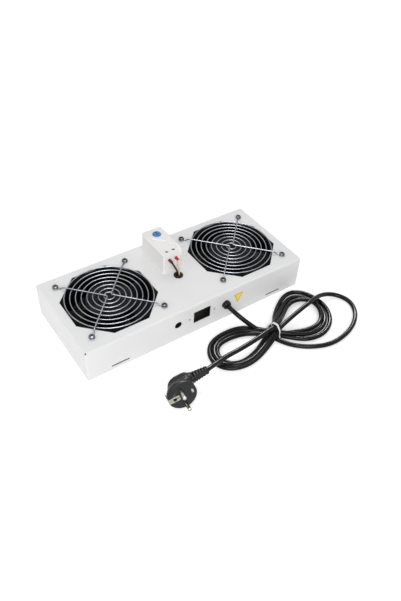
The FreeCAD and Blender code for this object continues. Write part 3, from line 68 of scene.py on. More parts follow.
class Nodes:
    """A material's node tree, with short names for the nodes that most surfaces use."""

    def __init__(self, name):
        self.material = bpy.data.materials.new(name)
        self.material.use_nodes = True
        self.tree = self.material.node_tree
        self.shader = self.tree.nodes["Principled BSDF"]
        self.place = self.new("ShaderNodeTexCoord").outputs["Object"]

    def new(self, kind, **settings):
        node = self.tree.nodes.new(kind)
        for key, value in settings.items():
            setattr(node, key, value)
        return node

    def link(self, source, target):
        self.tree.links.new(source, target)

    def stretched(self, scale):
        mapping = self.new("ShaderNodeMapping")
        mapping.inputs["Scale"].default_value = scale
        self.link(self.place, mapping.inputs["Vector"])
        return mapping.outputs["Vector"]

    def noise(self, scale, detail=3.0, roughness=0.5, stretch=None):
        node = self.new("ShaderNodeTexNoise")
        node.inputs["Scale"].default_value = scale
        node.inputs["Detail"].default_value = detail
        node.inputs["Roughness"].default_value = roughness
        self.link(self.stretched(stretch) if stretch else self.place, node.inputs["Vector"])
        return node.outputs["Fac"]

    def spread(self, source, low, high, out_low, out_high):
        node = self.new("ShaderNodeMapRange")
        ends = {"From Min": low, "From Max": high, "To Min": out_low, "To Max": out_high}
        for key, value in ends.items():
            node.inputs[key].default_value = value
        self.link(source, node.inputs["Value"])
        return node.outputs["Result"]

    def calc(self, operation, first, second=None):
        node = self.new("ShaderNodeMath", operation=operation)
        for socket, value in zip(node.inputs, (first, second)):
            if isinstance(value, (int, float)):
                socket.default_value = value
            elif value is not None:
                self.link(value, socket)
        return node.outputs[0]

    def blend(self, share, first, second):
        node = self.new("ShaderNodeMix", data_type="RGBA")
        for socket, value in ((node.inputs[0], share), (node.inputs[6], first), (node.inputs[7], second)):
            if isinstance(value, (int, float, tuple)):
                socket.default_value = value
            else:
                self.link(value, socket)
        return node.outputs[2]

    def bump(self, height, depth, strength=1.0, after=None):
        node = self.new("ShaderNodeBump")
        node.inputs["Strength"].default_value = strength
        node.inputs["Distance"].default_value = depth
        self.link(height, node.inputs["Height"])
        if after is not None:
            self.link(after, node.inputs["Normal"])
        return node.outputs["Normal"]

    def finish(self, base=None, rough=None, normal=None, **fixed):
        for key, value in fixed.items():
            self.shader.inputs[SOCKETS[key]].default_value = value
        for key, value in (("Base Color", base), ("Roughness", rough), ("Normal", normal)):
            if isinstance(value, (int, float, tuple)):
                self.shader.inputs[key].default_value = value
            elif value is not None:
                self.link(value, self.shader.inputs[key])
        return self.material


def plain(name, light, dark, rough, grain, depth, **fixed):
    """Surface with a slow change of colour and gloss, and a fine grain in its relief."""
    made = Nodes(name)
    slow = made.noise(45.0, 4.0, 0.6)
    fine = made.noise(grain, 3.0, 0.55)
    base = made.blend(made.spread(slow, 0.3, 0.7, 0.0, 1.0), colour(dark), colour(light))
    gloss = made.calc("ADD", made.spread(slow, 0.3, 0.7, rough - 0.04, rough + 0.04),
                      made.spread(fine, 0.3, 0.7, -0.03, 0.03))
    return made.finish(base, gloss, made.bump(fine, depth), **fixed)


# Depths from the tray's outside between which its colour turns to a painted shade, a dark grey that stands in
# for the shade inside the tray and its openings.
PAINTED_SHADE_START, PAINTED_SHADE_FULL = 0.00065, 0.0009


def powder_coat(name):
    """Orange peel of a baked powder coat over faint waves in the sheet, with a painted shade in dark grey
    from a small depth inwards.
    """
    made = Nodes(name)
    low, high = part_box("tray")
    axes = made.new("ShaderNodeSeparateXYZ")
    made.link(made.place, axes.inputs["Vector"])
    depths = [made.calc("SUBTRACT", (high[i] - low[i]) / 2, made.calc("ABSOLUTE", axes.outputs[axis]))
              for i, axis in enumerate("XY")]
    depth = made.calc("MINIMUM", made.calc("MINIMUM", *depths),
                      made.calc("SUBTRACT", high.z, axes.outputs["Z"]))
    # Share of painted shade: 0 near the tray's outside, 1 from a small depth inwards.
    inside = made.spread(depth, PAINTED_SHADE_START, PAINTED_SHADE_FULL, 0.0, 1.0)
    peel = made.noise(1500.0, 2.0, 0.6)
    waves = made.noise(22.0, 2.0, 0.4)
    specks = made.spread(made.noise(420.0, 4.0, 0.7), 0.62, 0.8, 0.0, 0.5)
    base = made.blend(made.spread(waves, 0.3, 0.7, 0.0, 1.0), colour("e6e6e7"), colour("eaeaea"))
    base = made.blend(specks, base, colour("dededd"))
    # Painted shade: faces deeper than a small depth inside the tray's outline, such as the walls of its slots
    # and openings and its inside, turn dark grey.
    base = made.blend(inside, base, colour("646260"))
    normal = made.bump(peel, 0.000035, 0.7, made.bump(waves, 0.0006, 0.12))
    return made.finish(base, made.spread(peel, 0.3, 0.7, 0.38, 0.5), normal)


def metal(name, light, dark, rough, grain=700.0, depth=0.00001, stretch=None):
    """Metal with a slow change of colour and a fine grain, drawn out along the part where it is stretched."""
    made = Nodes(name)
    slow = made.noise(60.0, 3.0, 0.6)
    fine = made.noise(grain, 4.0, 0.6, stretch)
    base = made.blend(made.spread(slow, 0.3, 0.7, 0.0, 1.0), colour(dark), colour(light))
    gloss = made.spread(fine, 0.3, 0.7, rough - 0.04, rough + 0.06)
    return made.finish(base, gloss, made.bump(fine, depth), metallic=1.0)


# Distances from the label's edge at which its border starts and ends, each with a soft step.
BORDER_START, BORDER_END = (0.0009, 0.0010), (0.0014, 0.0016)


def label_film(name):
    """Plain yellow film with a darker border that follows the triangle's three sides."""
    made = Nodes(name)
    low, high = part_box("triangle_label")
    axes = made.new("ShaderNodeSeparateXYZ")
    made.link(made.place, axes.inputs["Vector"])
    across = made.calc("ABSOLUTE", made.calc("SUBTRACT", axes.outputs["X"], (low.x + high.x) / 2))
    down = made.calc("SUBTRACT", high.z, axes.outputs["Z"])
    half, tall = (high.x - low.x) / 2, high.z - low.z
    slope = math.hypot(half, tall)
    run = made.calc("ADD", made.calc("MULTIPLY", across, tall / slope),
                    made.calc("MULTIPLY", down, half / slope))
    side = made.calc("SUBTRACT", half * tall / slope, run)
    edge = made.calc("MINIMUM", side, down)
    inside = made.spread(edge, *BORDER_START, 0.0, 1.0)
    border = made.calc("MULTIPLY", inside, made.spread(edge, *BORDER_END, 1.0, 0.0))
    grain = made.noise(800.0, 2.0)
    patches = made.spread(made.noise(120.0), 0.3, 0.7, 0.0, 1.0)
    yellow = made.blend(patches, colour("f8d850"), colour("fbe068"))
    base = made.blend(border, yellow, colour("9a7418"))
    return made.finish(base, made.spread(grain, 0.3, 0.7, 0.32, 0.42), made.bump(grain, 0.000015))


def striped_core(name):
    """Green insulation with two yellow stripes along the core."""
    made = Nodes(name)
    stripe = made.spread(made.noise(260.0, 0.0, 0.0, (3.0, 0.06, 1.0)), 0.47, 0.53, 0.0, 1.0)
    base = made.blend(stripe, colour("3f7a1e"), colour("d8c62a"))
    return made.finish(base, 0.42, made.bump(made.noise(900.0), 0.00001))


def laminations(name):
    """Thin steel sheets stacked along the axis."""
    made = Nodes(name)
    bands = made.new("ShaderNodeTexWave", wave_type="BANDS", bands_direction="Z")
    bands.inputs["Scale"].default_value = 600.0
    made.link(made.place, bands.inputs["Vector"])
    base = made.blend(bands.outputs["Fac"], colour("6e7074"), colour("8d9094"))
    return made.finish(base, 0.42, made.bump(bands.outputs["Fac"], 0.00003), metallic=0.9)


def enamelled_turns(name):
    """Turns of enamelled copper wire round the core."""
    made = Nodes(name)
    turns = made.new("ShaderNodeTexWave", wave_type="RINGS", rings_direction="Z")
    turns.inputs["Scale"].default_value = 700.0
    turns.inputs["Distortion"].default_value = 1.5
    made.link(made.place, turns.inputs["Vector"])
    base = made.blend(turns.outputs["Fac"], colour("7c3a1a"), colour("b8683a"))
    return made.finish(base, 0.3, made.bump(turns.outputs["Fac"], 0.00008), metallic=0.8)


def sheath(name):
    """Soft black sheath with a faint lengthwise drag and handling marks."""
    made = Nodes(name)
    marks = made.noise(75.0, 5.0, 0.65)
    fine = made.noise(1600.0, 3.0, 0.6)
    base = made.blend(made.spread(marks, 0.35, 0.7, 0.0, 1.0), colour("050506"), colour("0a0b0c"))
    gloss = made.spread(marks, 0.3, 0.7, 0.15, 0.22)
    relief = made.bump(fine, 0.00002, 0.6, made.bump(marks, 0.0002, 0.2))
    return made.finish(base, gloss, relief, specular=0.2)


def sleeve(name, light, dark):
    """Plastic collar of a wire ferrule."""
    made = Nodes(name)
    fine = made.noise(1200.0)
    base = made.blend(made.spread(made.noise(200.0), 0.3, 0.7, 0.0, 1.0), colour(dark), colour(light))
    return made.finish(base, made.spread(fine, 0.3, 0.7, 0.3, 0.42), made.bump(fine, 0.00001))


# Finish of each material slot, as a function of its name.
LOOKS = {
    "tray_powder_coat": powder_coat,
    "fan_frame": lambda name: plain(name, "0e0f10", "08090a", 0.5, 1300.0, 0.00006, specular=0.05),
    "stator_steel": laminations,
    "copper_winding": enamelled_turns,
    "bearing_bronze": lambda name: metal(name, "a8844c", "8a6a3a", 0.4),
    "impeller_plastic": lambda name: plain(name, "0c0f13", "07090c", 0.28, 1000.0, 0.00002, specular=0.12),
    "rotor_steel": lambda name: metal(name, "26282c", "1b1c1f", 0.4, 500.0, 0.00001, (1.0, 1.0, 6.0)),
    "rotor_cage": lambda name: metal(name, "5e5f62", "48494c", 0.5),
    "shaft_steel": lambda name: metal(name, "b9bcc0", "9fa2a7", 0.25, 900.0, 0.000005, (1.0, 1.0, 8.0)),
    "guard_chrome": lambda name: metal(name, "93959a", "74777c", 0.3, 500.0, 0.0000005),
    "wire_black": lambda name: plain(name, "131314", "0b0b0c", 0.36, 1500.0, 0.00001, specular=0.3),
    "screw_steel": lambda name: metal(name, "66686c", "3a3c40", 0.2, 900.0, 0.000004),
    "thermostat_grey": lambda name: plain(name, "f0efed", "e8e7e5", 0.46, 1800.0, 0.00004),
    "dial_blue": lambda name: plain(name, "3f84c4", "3273b2", 0.42, 1500.0, 0.00002),
    "strip_brass": lambda name: metal(name, "c9a456", "a98643", 0.32, 600.0, 0.000008, (1.0, 4.0, 1.0)),
    "ferrule_dark_red": lambda name: sleeve(name, "7c1f1e", "5d1414"),
    "ferrule_red": lambda name: sleeve(name, "d2302a", "ad1f1c"),
    "wire_cream": lambda name: plain(name, "ecd0b4", "dfbc9a", 0.42, 1500.0, 0.00001),
    "grommet_rubber": lambda name: plain(name, "161617", "0e0e0f", 0.5, 1400.0, 0.00003, specular=0.25),
    "gland_plastic": lambda name: plain(name, "161618", "0d0d0f", 0.42, 1400.0, 0.00004, specular=0.25),
    "label_yellow": label_film,
    "block_plastic": lambda name: plain(name, "dcdbd3", "cfcec5", 0.45, 1300.0, 0.00003),
    "core_brown": lambda name: plain(name, "5e3a22", "4a2c18", 0.4, 1500.0, 0.00001),
    "core_blue": lambda name: plain(name, "2c5fae", "214b8d", 0.4, 1500.0, 0.00001),
    "core_green": striped_core,
    "cord_pvc": sheath,
    "tie_white": lambda name: plain(name, "efefec", "e0e0dc", 0.36, 1200.0, 0.00002),
    "plug_rubber": lambda name: plain(name, "1b1c1e", "131416", 0.42, 1500.0, 0.00005, specular=0.3),
    "pin_nickel": lambda name: metal(name, "c0bdb5", "96938c", 0.22, 700.0, 0.000004, (1.0, 1.0, 4.0)),
}
MATERIALS = {name: make(name) for name, make in LOOKS.items()}

for entry in frame["record"]["subparts"]:
    shown = frame["nodes"][entry["node"]]
    for slot in shown.material_slots:
        slot.material = MATERIALS[entry["material_slot"]]


# ---------------------------------------------------------------- pieces

def give(piece, look, replaced=()):
    """Finish and body of a new piece, and the CAD nodes that it replaces."""
    piece.data.materials.clear()
    piece.data.materials.append(MATERIALS[look])
    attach(piece, BODY)
    if replaced:
        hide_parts(*replaced)
    return piece


def wire(name, points, radius, smooth=10):
    """Round wire along one smooth spline through its control points."""
    curve = bpy.data.curves.new(name, "CURVE")
    curve.dimensions = "3D"
    spline = curve.splines.new("NURBS")
    spline.points.add(len(points) - 1)
    for knot, point in zip(spline.points, points):
        knot.co = (*point, 1.0)
    spline.order_u = 3
    spline.use_endpoint_u = True
    spline.resolution_u = smooth
    curve.bevel_depth = radius
    curve.bevel_resolution = 5
    curve.use_fill_caps = True
    piece = bpy.data.objects.new(name, curve)
    bpy.context.collection.objects.link(piece)
    return piece


# Route of the mains lead, in metres: out of the gland, round the wide loop, three figure-of-eight turns, and
# back over them to the plug. The turns cross at the tie, where they run into each other.
LEAD = [
    (0.039, -0.0668, 0.027), (0.039, -0.086, 0.027), (0.044, -0.099, 0.0215), (0.053, -0.109, 0.012),
    (0.062, -0.12, 0.004), (0.069, -0.134, 0.0033), (0.0745, -0.149, 0.0033)]
BIG = [
    (0.0805, -0.16, 0.0033), (0.09, -0.171, 0.0033), (0.1055, -0.1825, 0.0033), (0.1305, -0.1925, 0.0033),
    (0.16, -0.1905, 0.0033), (0.1865, -0.1805, 0.0033), (0.206, -0.163, 0.0033), (0.213, -0.142, 0.0033),
    (0.202, -0.122, 0.0045), (0.178, -0.117, 0.011), (0.151, -0.125, 0.018), (0.1215, -0.1295, 0.015),
    (0.096, -0.1345, 0.013)]
LEFT_A = [
    (0.081, -0.139, 0.0125), (0.07, -0.1445, 0.008), (0.058, -0.149, 0.004), (0.0435, -0.1545, 0.0033),
    (0.027, -0.1595, 0.0033), (0.009, -0.1605, 0.0033), (-0.008, -0.1555, 0.0033),
    (-0.019, -0.1455, 0.0033), (-0.023, -0.1315, 0.0033), (-0.0185, -0.117, 0.0033),
    (-0.008, -0.1055, 0.0033), (0.008, -0.1, 0.0033), (0.026, -0.0995, 0.0033), (0.043, -0.1025, 0.0033),
    (0.057, -0.111, 0.0033), (0.067, -0.121, 0.0033)]
RIGHT_P = [
    (0.075, -0.132, 0.0033), (0.082, -0.144, 0.0033), (0.092, -0.154, 0.0033), (0.102, -0.1635, 0.0033),
    (0.115, -0.1705, 0.0033), (0.132, -0.1725, 0.0033), (0.148, -0.168, 0.0033), (0.162, -0.1575, 0.0033),
    (0.1715, -0.142, 0.0033), (0.1745, -0.1255, 0.0033), (0.1715, -0.108, 0.0033), (0.164, -0.093, 0.0033),
    (0.15, -0.0845, 0.0033), (0.1335, -0.087, 0.0033), (0.1175, -0.096, 0.0033), (0.1025, -0.107, 0.004),
    (0.091, -0.118, 0.008), (0.083, -0.127, 0.012)]
LEFT_B = [
    (0.077, -0.1355, 0.0133), (0.068, -0.142, 0.011), (0.057, -0.146, 0.009), (0.043, -0.152, 0.009),
    (0.028, -0.158, 0.009), (0.013, -0.16, 0.009), (-0.0015, -0.158, 0.0085), (-0.012, -0.1505, 0.007),
    (-0.017, -0.139, 0.0055), (-0.016, -0.126, 0.005), (-0.009, -0.1145, 0.0045),
    (0.0035, -0.1075, 0.0038), (0.0175, -0.1055, 0.0035), (0.032, -0.106, 0.0035), (0.046, -0.11, 0.0035),
    (0.057, -0.118, 0.0045), (0.067, -0.126, 0.0065)]
RIGHT_Q = [
    (0.075, -0.134, 0.0092), (0.082, -0.143, 0.009), (0.093, -0.1505, 0.0075), (0.106, -0.1585, 0.0055),
    (0.12, -0.164, 0.005), (0.135, -0.164, 0.004), (0.148, -0.1595, 0.0035), (0.159, -0.1495, 0.0033),
    (0.1655, -0.136, 0.0033), (0.1665, -0.1215, 0.0033), (0.162, -0.107, 0.0033), (0.153, -0.0975, 0.0033),
    (0.1405, -0.094, 0.004), (0.126, -0.099, 0.005), (0.11, -0.1085, 0.0075), (0.097, -0.118, 0.01),
    (0.085, -0.126, 0.013)]
LEFT_C = [
    (0.073, -0.131, 0.0135), (0.063, -0.137, 0.01), (0.052, -0.142, 0.006), (0.039, -0.1475, 0.0035),
    (0.024, -0.152, 0.0033), (0.0095, -0.1532, 0.0033), (-0.0015, -0.15, 0.0033),
    (-0.009, -0.1425, 0.0033), (-0.012, -0.132, 0.0033), (-0.009, -0.1215, 0.0033),
    (-0.0015, -0.1135, 0.0033), (0.0095, -0.1105, 0.0033), (0.024, -0.1108, 0.0033),
    (0.038, -0.1135, 0.0033), (0.05, -0.119, 0.0033), (0.061, -0.1275, 0.004)]
RIGHT_S = [
    (0.07, -0.136, 0.006), (0.079, -0.142, 0.007), (0.09, -0.1455, 0.005), (0.103, -0.149, 0.0035),
    (0.116, -0.1535, 0.0033), (0.13, -0.156, 0.0033), (0.142, -0.1545, 0.0033), (0.152, -0.149, 0.004),
    (0.16, -0.139, 0.0055), (0.163, -0.127, 0.007), (0.16, -0.1145, 0.007), (0.151, -0.1055, 0.006),
    (0.139, -0.102, 0.005), (0.126, -0.1055, 0.0055), (0.1135, -0.1135, 0.0075), (0.101, -0.1225, 0.011)]
TAIL = [
    (0.087, -0.1315, 0.017), (0.075, -0.137, 0.0195), (0.061, -0.138, 0.018), (0.038, -0.141, 0.0175),
    (0.012, -0.1425, 0.0165), (-0.012, -0.1445, 0.019), (-0.03, -0.1485, 0.0218),
    (-0.049, -0.1529, 0.0242)]
ROUTE = LEAD + BIG + LEFT_A + RIGHT_P + LEFT_B + RIGHT_Q + LEFT_C + RIGHT_S + TAIL


def points(*places):
    """Places in millimetres as points in metres."""
    return [tuple(MM * value for value in place) for place in places]


def solid(name, build, placed=None):
    """Object from a function that fills a mesh, in millimetres, with smooth faces and crisp edges."""
    net = bmesh.new()
    build(net)
    bmesh.ops.recalc_face_normals(net, faces=net.faces)
    for face in net.faces:
        face.smooth = True
    for edge in net.edges:
        edge.smooth = edge.calc_face_angle(0.0) < SHARP
    net.transform((placed or Matrix.Identity(4)) @ Matrix.Scale(MM, 4))
    mesh = bpy.data.meshes.new(name)
    net.to_mesh(mesh)
    net.free()
    piece = bpy.data.objects.new(name, mesh)
    bpy.context.collection.objects.link(piece)
    return piece


def skin(net, rings, closed=False):
    """Faces between rings that have the same number of points, with ends or closed into a loop."""
    rows = [[net.verts.new(point) for point in ring] for ring in rings]
    for first, second in zip(rows, rows[1:] + (rows[:1] if closed else [])):
        for k in range(len(first)):
            net.faces.new((first[k - 1], first[k], second[k], second[k - 1]))
    if not closed:
        net.faces.new(rows[0])
        net.faces.new(rows[-1])


def rounded(a_low, a_high, b_half, power, count=64):
    """Outline between two limits one way and a half width the other way: 2 gives an ellipse, more a box."""
    middle, half = (a_low + a_high) / 2, (a_high - a_low) / 2
    ring = []
    for k in range(count):
        angle = math.tau * k / count
        c, s = math.cos(angle), math.sin(angle)
        ring.append((middle + half * math.copysign(abs(c) ** (2 / power), c),
                     b_half * math.copysign(abs(s) ** (2 / power), s)))
    return ring


def cut_with(piece, cutter):
    """Takes the cutter's shape out of the piece."""
    tool = piece.modifiers.new("cut", "BOOLEAN")
    tool.operation, tool.solver, tool.object = "DIFFERENCE", "EXACT", cutter
    bpy.context.view_layer.update()
    shape = bpy.data.meshes.new_from_object(piece.evaluated_get(bpy.context.evaluated_depsgraph_get()))
    piece.modifiers.clear()
    piece.data = shape
    bpy.data.objects.remove(cutter)


# Plug, in millimetres in its own frame: pins along Z from the face, lead along X.
LEAD_DEPTH = 22.0  # axis of the lead behind the plug's face
SIDE_CONTACT_HALF = 3.75  # half the width of an earth contact
CONTACT_SHEET_HALF = 0.3  # half the thickness of its sheet
pins_way = Vector((-0.23, -0.93, 0.28)).normalized()
lead_way = Vector((0.95, -0.16, 0.26))
lead_way = (lead_way - lead_way.dot(pins_way) * pins_way).normalized()
PLUG = Matrix.Translation((-0.093, -0.1666, 0.01936)) @ Matrix(
    (lead_way, pins_way.cross(lead_way), pins_way)).transposed().to_4x4()


def plug_front(net):
    """Round front, and a narrower block with finger grooves behind it."""
    # height, limits along X, half width along Y, squareness
    front = [
        (0.0, -17.6, 17.6, 17.6, 2.0), (-0.35, -18.5, 18.5, 18.5, 2.0), (-1.2, -19.0, 19.0, 19.0, 2.0),
        (-3.6, -19.0, 19.0, 19.0, 2.0), (-3.8, -18.7, 18.7, 18.7, 2.0), (-4.0, -18.9, 18.9, 18.9, 2.0),
        (-6.9, -18.1, 18.3, 18.1, 2.0), (-7.6, -17.7, 18.2, 17.6, 2.0), (-8.2, -16.8, 18.2, 16.6, 2.2),
        (-9.2, -15.2, 18.2, 15.1, 3.0), (-10.8, -13.8, 18.4, 14.2, 4.2), (-14.0, -12.4, 18.8, 13.8, 4.6),
        (-16.2, -11.8, 19.0, 13.7, 4.6), (-16.8, -11.6, 19.0, 12.6, 4.6), (-17.6, -11.3, 19.0, 12.6, 4.6),
        (-18.2, -11.0, 19.0, 13.6, 4.6), (-19.2, -10.4, 19.0, 13.6, 4.6), (-19.8, -10.0, 19.0, 12.6, 4.6),
        (-20.6, -9.4, 19.0, 12.6, 4.6), (-21.2, -9.0, 19.0, 13.4, 4.4), (-22.6, -7.8, 18.8, 13.1, 4.2),
        (-24.6, -5.8, 18.4, 12.3, 3.8), (-26.4, -2.8, 17.4, 10.9, 3.3), (-27.5, 0.5, 15.4, 8.6, 2.5),
        (-27.9, 4.0, 12.0, 5.0, 2.2)]
    skin(net, [[(x, y, z) for x, y in rounded(low, high, half, power)]
               for z, low, high, half, power in front])


def plug_hood(net):
    """Shoulder of the plug round the start of the strain relief."""
    # place along X, limits along Z, half width along Y
    hood = [(4.0, -29.0, -13.0, 10.8), (10.0, -29.4, -13.6, 10.4), (15.0, -29.3, -14.6, 9.4),
            (18.6, -28.8, -15.6, 8.2), (20.2, -28.2, -16.2, 7.4), (20.6, -27.4, -17.0, 6.4)]
    skin(net, [[(x, y, z) for z, y in rounded(low, high, half, 2.8)] for x, low, high, half in hood])


def plug_recesses(net):
    """Space for the two side contacts and the hole for a socket's earth pin."""
    for way, top in ((-1, 2.0), (1, -1.0)):
        skin(net, [[(way * x, y, z) for z, y in rounded(-13.2, top, SIDE_CONTACT_HALF + 1.0, 8.0, 32)]
                   for x in (17.4, 24.0)])
    skin(net, [[(x, y, z) for x, y in rounded(-12.4, -7.6, 2.4, 2.0, 32)] for z in (2.0, -15.0)])


def boot_ribs(net):
    """Flat strain relief: a collar, then ribs between two side rails, narrowing to the lead."""
    # place along X, half width along Z, half thickness along Y, depth of the slot
    stations = [(19.8, 7.0, 6.2, 0.0), (22.2, 7.0, 6.2, 0.0), (22.5, 6.6, 5.7, 0.0)]
    for k in range(5):
        x, share = 23.9 + 3.8 * k, k / 4
        wide, thick = 6.6 - 1.4 * share, 5.8 - 1.1 * share
        stations += [(x - 0.1, wide - 0.6, thick, 2.2), (x, wide, thick, 0.2),
                     (x + 0.3, wide + 0.1, thick, 0.0), (x + 1.8, wide, thick, 0.0),
                     (x + 2.1, wide - 0.1, thick, 0.2), (x + 2.2, wide - 0.6, thick, 2.2)]
    stations += [(42.3, 4.9, 4.4, 0.6), (42.4, 5.0, 4.4, 0.0), (42.8, 4.8, 4.2, 0.0), (43.0, 4.2, 3.7, 0.0)]
    rings = []
    for x, wide, thick, slot in stations:
        ring = []
        for z, y in rounded(-LEAD_DEPTH - wide, -LEAD_DEPTH + wide, thick, 3.0, 48):
            deep = slot if abs(z + LEAD_DEPTH) < 0.72 * wide else 0.15 * slot
            ring.append((x, y - math.copysign(min(deep, abs(y)), y), z))
        rings.append(ring)
    skin(net, rings)


def plate_with_hole(net, low, high, half, hole, radius, bottom, top):
    """Plate between two heights with a round hole that has a raised rim."""
    outside = rounded(low, high, half, 7.0, 48)
    inside = [(hole + radius * math.cos(angle), radius * math.sin(angle))
              for angle in (math.tau * k / 48 for k in range(48))]
    rim = [(hole + (x - hole) * 1.16, y * 1.16) for x, y in inside]
    skin(net, [[(x, y, bottom) for x, y in outside], [(x, y, top) for x, y in outside],
               [(x, y, top) for x, y in rim], [(x, y, top + 0.25) for x, y in inside],
               [(x, y, bottom) for x, y in inside]], closed=True)


def side_clip(net, way, top):
    """Spring strip down one side, bowed outwards, from the given points at its top."""
    line = top + [(18.2, -0.9), (18.3, -4.0), (18.6, -7.0), (18.3, -10.5), (17.9, -12.0), (17.6, -12.4)]
    outline = ((1, -1), (1, -0.9), (1, 0.9), (1, 1), (-1, 1), (-1, 0.9), (-1, -0.9), (-1, -1))
    rings = []
    for k, (x, z) in enumerate(line):
        before, after = line[max(k - 1, 0)], line[min(k + 1, len(line) - 1)]
        along = Vector((after[0] - before[0], after[1] - before[1])).normalized()
        out = Vector((-along.y, along.x)) * CONTACT_SHEET_HALF
        half = SIDE_CONTACT_HALF if k < len(line) - 1 else 3.1
        rings.append([(way * (x + face * out.x), y * half, z + face * out.y) for face, y in outline])
    skin(net, rings)


def earth_contact(net):
    """Plate with the socket pin's hole, and the two side springs, the far one with its foot on the face."""
    plate_with_hole(net, -18.0, -3.4, SIDE_CONTACT_HALF, -10.0, 2.4, 0.0, 0.55)
    side_clip(net, -1, [(16.2, 0.15), (17.0, 0.2), (17.9, 0.0)])
    side_clip(net, 1, [(17.4, -1.6), (17.9, -1.3)])
    foot = ((-0.3, 12.1, 14.9, 2.6), (0.35, 12.1, 14.9, 2.6), (0.5, 12.3, 14.7, 2.4))
    skin(net, [[(x, y, z) for x, y in rounded(low, high, half, 6.0, 32)] for z, low, high, half in foot])


shell = solid("plug_shell", plug_front, PLUG)
cut_with(shell, solid("plug_cutter", plug_recesses, PLUG))
give(shell, "plug_rubber", replaced=("plug_body",))
hood = give(solid("plug_hood", plug_hood, PLUG), "plug_rubber")
boot = give(solid("plug_strain_relief", boot_ribs, PLUG), "plug_rubber", replaced=("plug_boot",))
contact = give(solid("plug_contact", earth_contact, PLUG), "pin_nickel", replaced=("plug_earth_contact",))


# Tie round the strands of the lead, in millimetres: a flat strip with a wire in its middle, its two ends
# twisted together.
TIE_WAY = Vector((math.cos(math.radians(20)), math.sin(math.radians(20)), 0.0))
TIE_ACROSS = Vector((-TIE_WAY.y, TIE_WAY.x, 0.0))
TIE_MIDDLE = Vector((75.5, -136.0, 0.0))
TIE_LOOP = [(-9.4, 6.0), (-9.6, 12.0), (-7.6, 17.0), (-4.4, 22.4), (-1.6, 23.9), (1.8, 23.9), (4.8, 22.2),
            (8.4, 17.4), (10.6, 12.0), (11.6, 6.5), (11.2, 2.2), (8.0, 0.85), (0.0, 0.85), (-6.0, 0.95),
            (-9.0, 2.5), (-9.5, 5.0)]
TWIST_START = TIE_MIDDLE - 9.4 * TIE_ACROSS + Vector((0.0, 0.0, 5.6))
TWIST_WAY = (Vector((-0.45, -0.75, -0.42))).normalized()
TWIST_LENGTH, TWIST_TURNS, TWIST_STEPS = 8.5, 2.5, 48
TWIST_STRAND, TWIST_SPREAD = 0.6, 0.55  # strand's radius, and its distance from the twist's middle


def smooth_line(route):
    """Points along the smooth spline through a few control points, in millimetres."""
    guide = wire("guide", route, 0.0, 8)
    mesh = bpy.data.meshes.new_from_object(guide)
    line = [vertex.co.copy() for vertex in mesh.vertices]
    bpy.data.objects.remove(guide)
    return line


def tie_strip(net):
    """Strip round the strands, ridged along its middle."""
    line = smooth_line([TIE_MIDDLE + u * TIE_ACROSS + Vector((0, 0, z)) for u, z in TIE_LOOP])
    profile = [(-1.5, 0.15), (-0.6, 0.25), (-0.4, 0.6), (0.0, 0.75), (0.4, 0.6), (0.6, 0.25), (1.5, 0.15),
               (1.5, -0.1), (0.5, -0.2), (0.0, -0.35), (-0.5, -0.2), (-1.5, -0.1)]
    rings = []
    for k, place in enumerate(line):
        along = (line[min(k + 1, len(line) - 1)] - line[max(k - 1, 0)]).normalized()
        out = along.cross(TIE_WAY)
        rings.append([place + across * TIE_WAY + height * out for across, height in profile])
    skin(net, rings)


def tie_ends(net):
    """The strip's two ends, wound round each other."""
    side = TWIST_WAY.cross(Vector((0.0, 0.0, 1.0))).normalized()
    lift = side.cross(TWIST_WAY)

    def around(angle):
        return math.cos(angle) * side + math.sin(angle) * lift

    for turn in (0.0, math.pi):
        rings = []
        for k in range(TWIST_STEPS + 1):
            angle = turn + math.tau * TWIST_TURNS * k / TWIST_STEPS
            heart = TWIST_START + TWIST_WAY * (TWIST_LENGTH * k / TWIST_STEPS) + TWIST_SPREAD * around(angle)
            rings.append([heart + TWIST_STRAND * around(math.tau * j / 10) for j in range(10)])
        skin(net, rings)


def whole_tie(net):
    """Strip and twisted ends in one mesh."""
    tie_strip(net)
    tie_ends(net)


tie = give(solid("twist_tie", whole_tie), "tie_white", replaced=("cord_tie",))


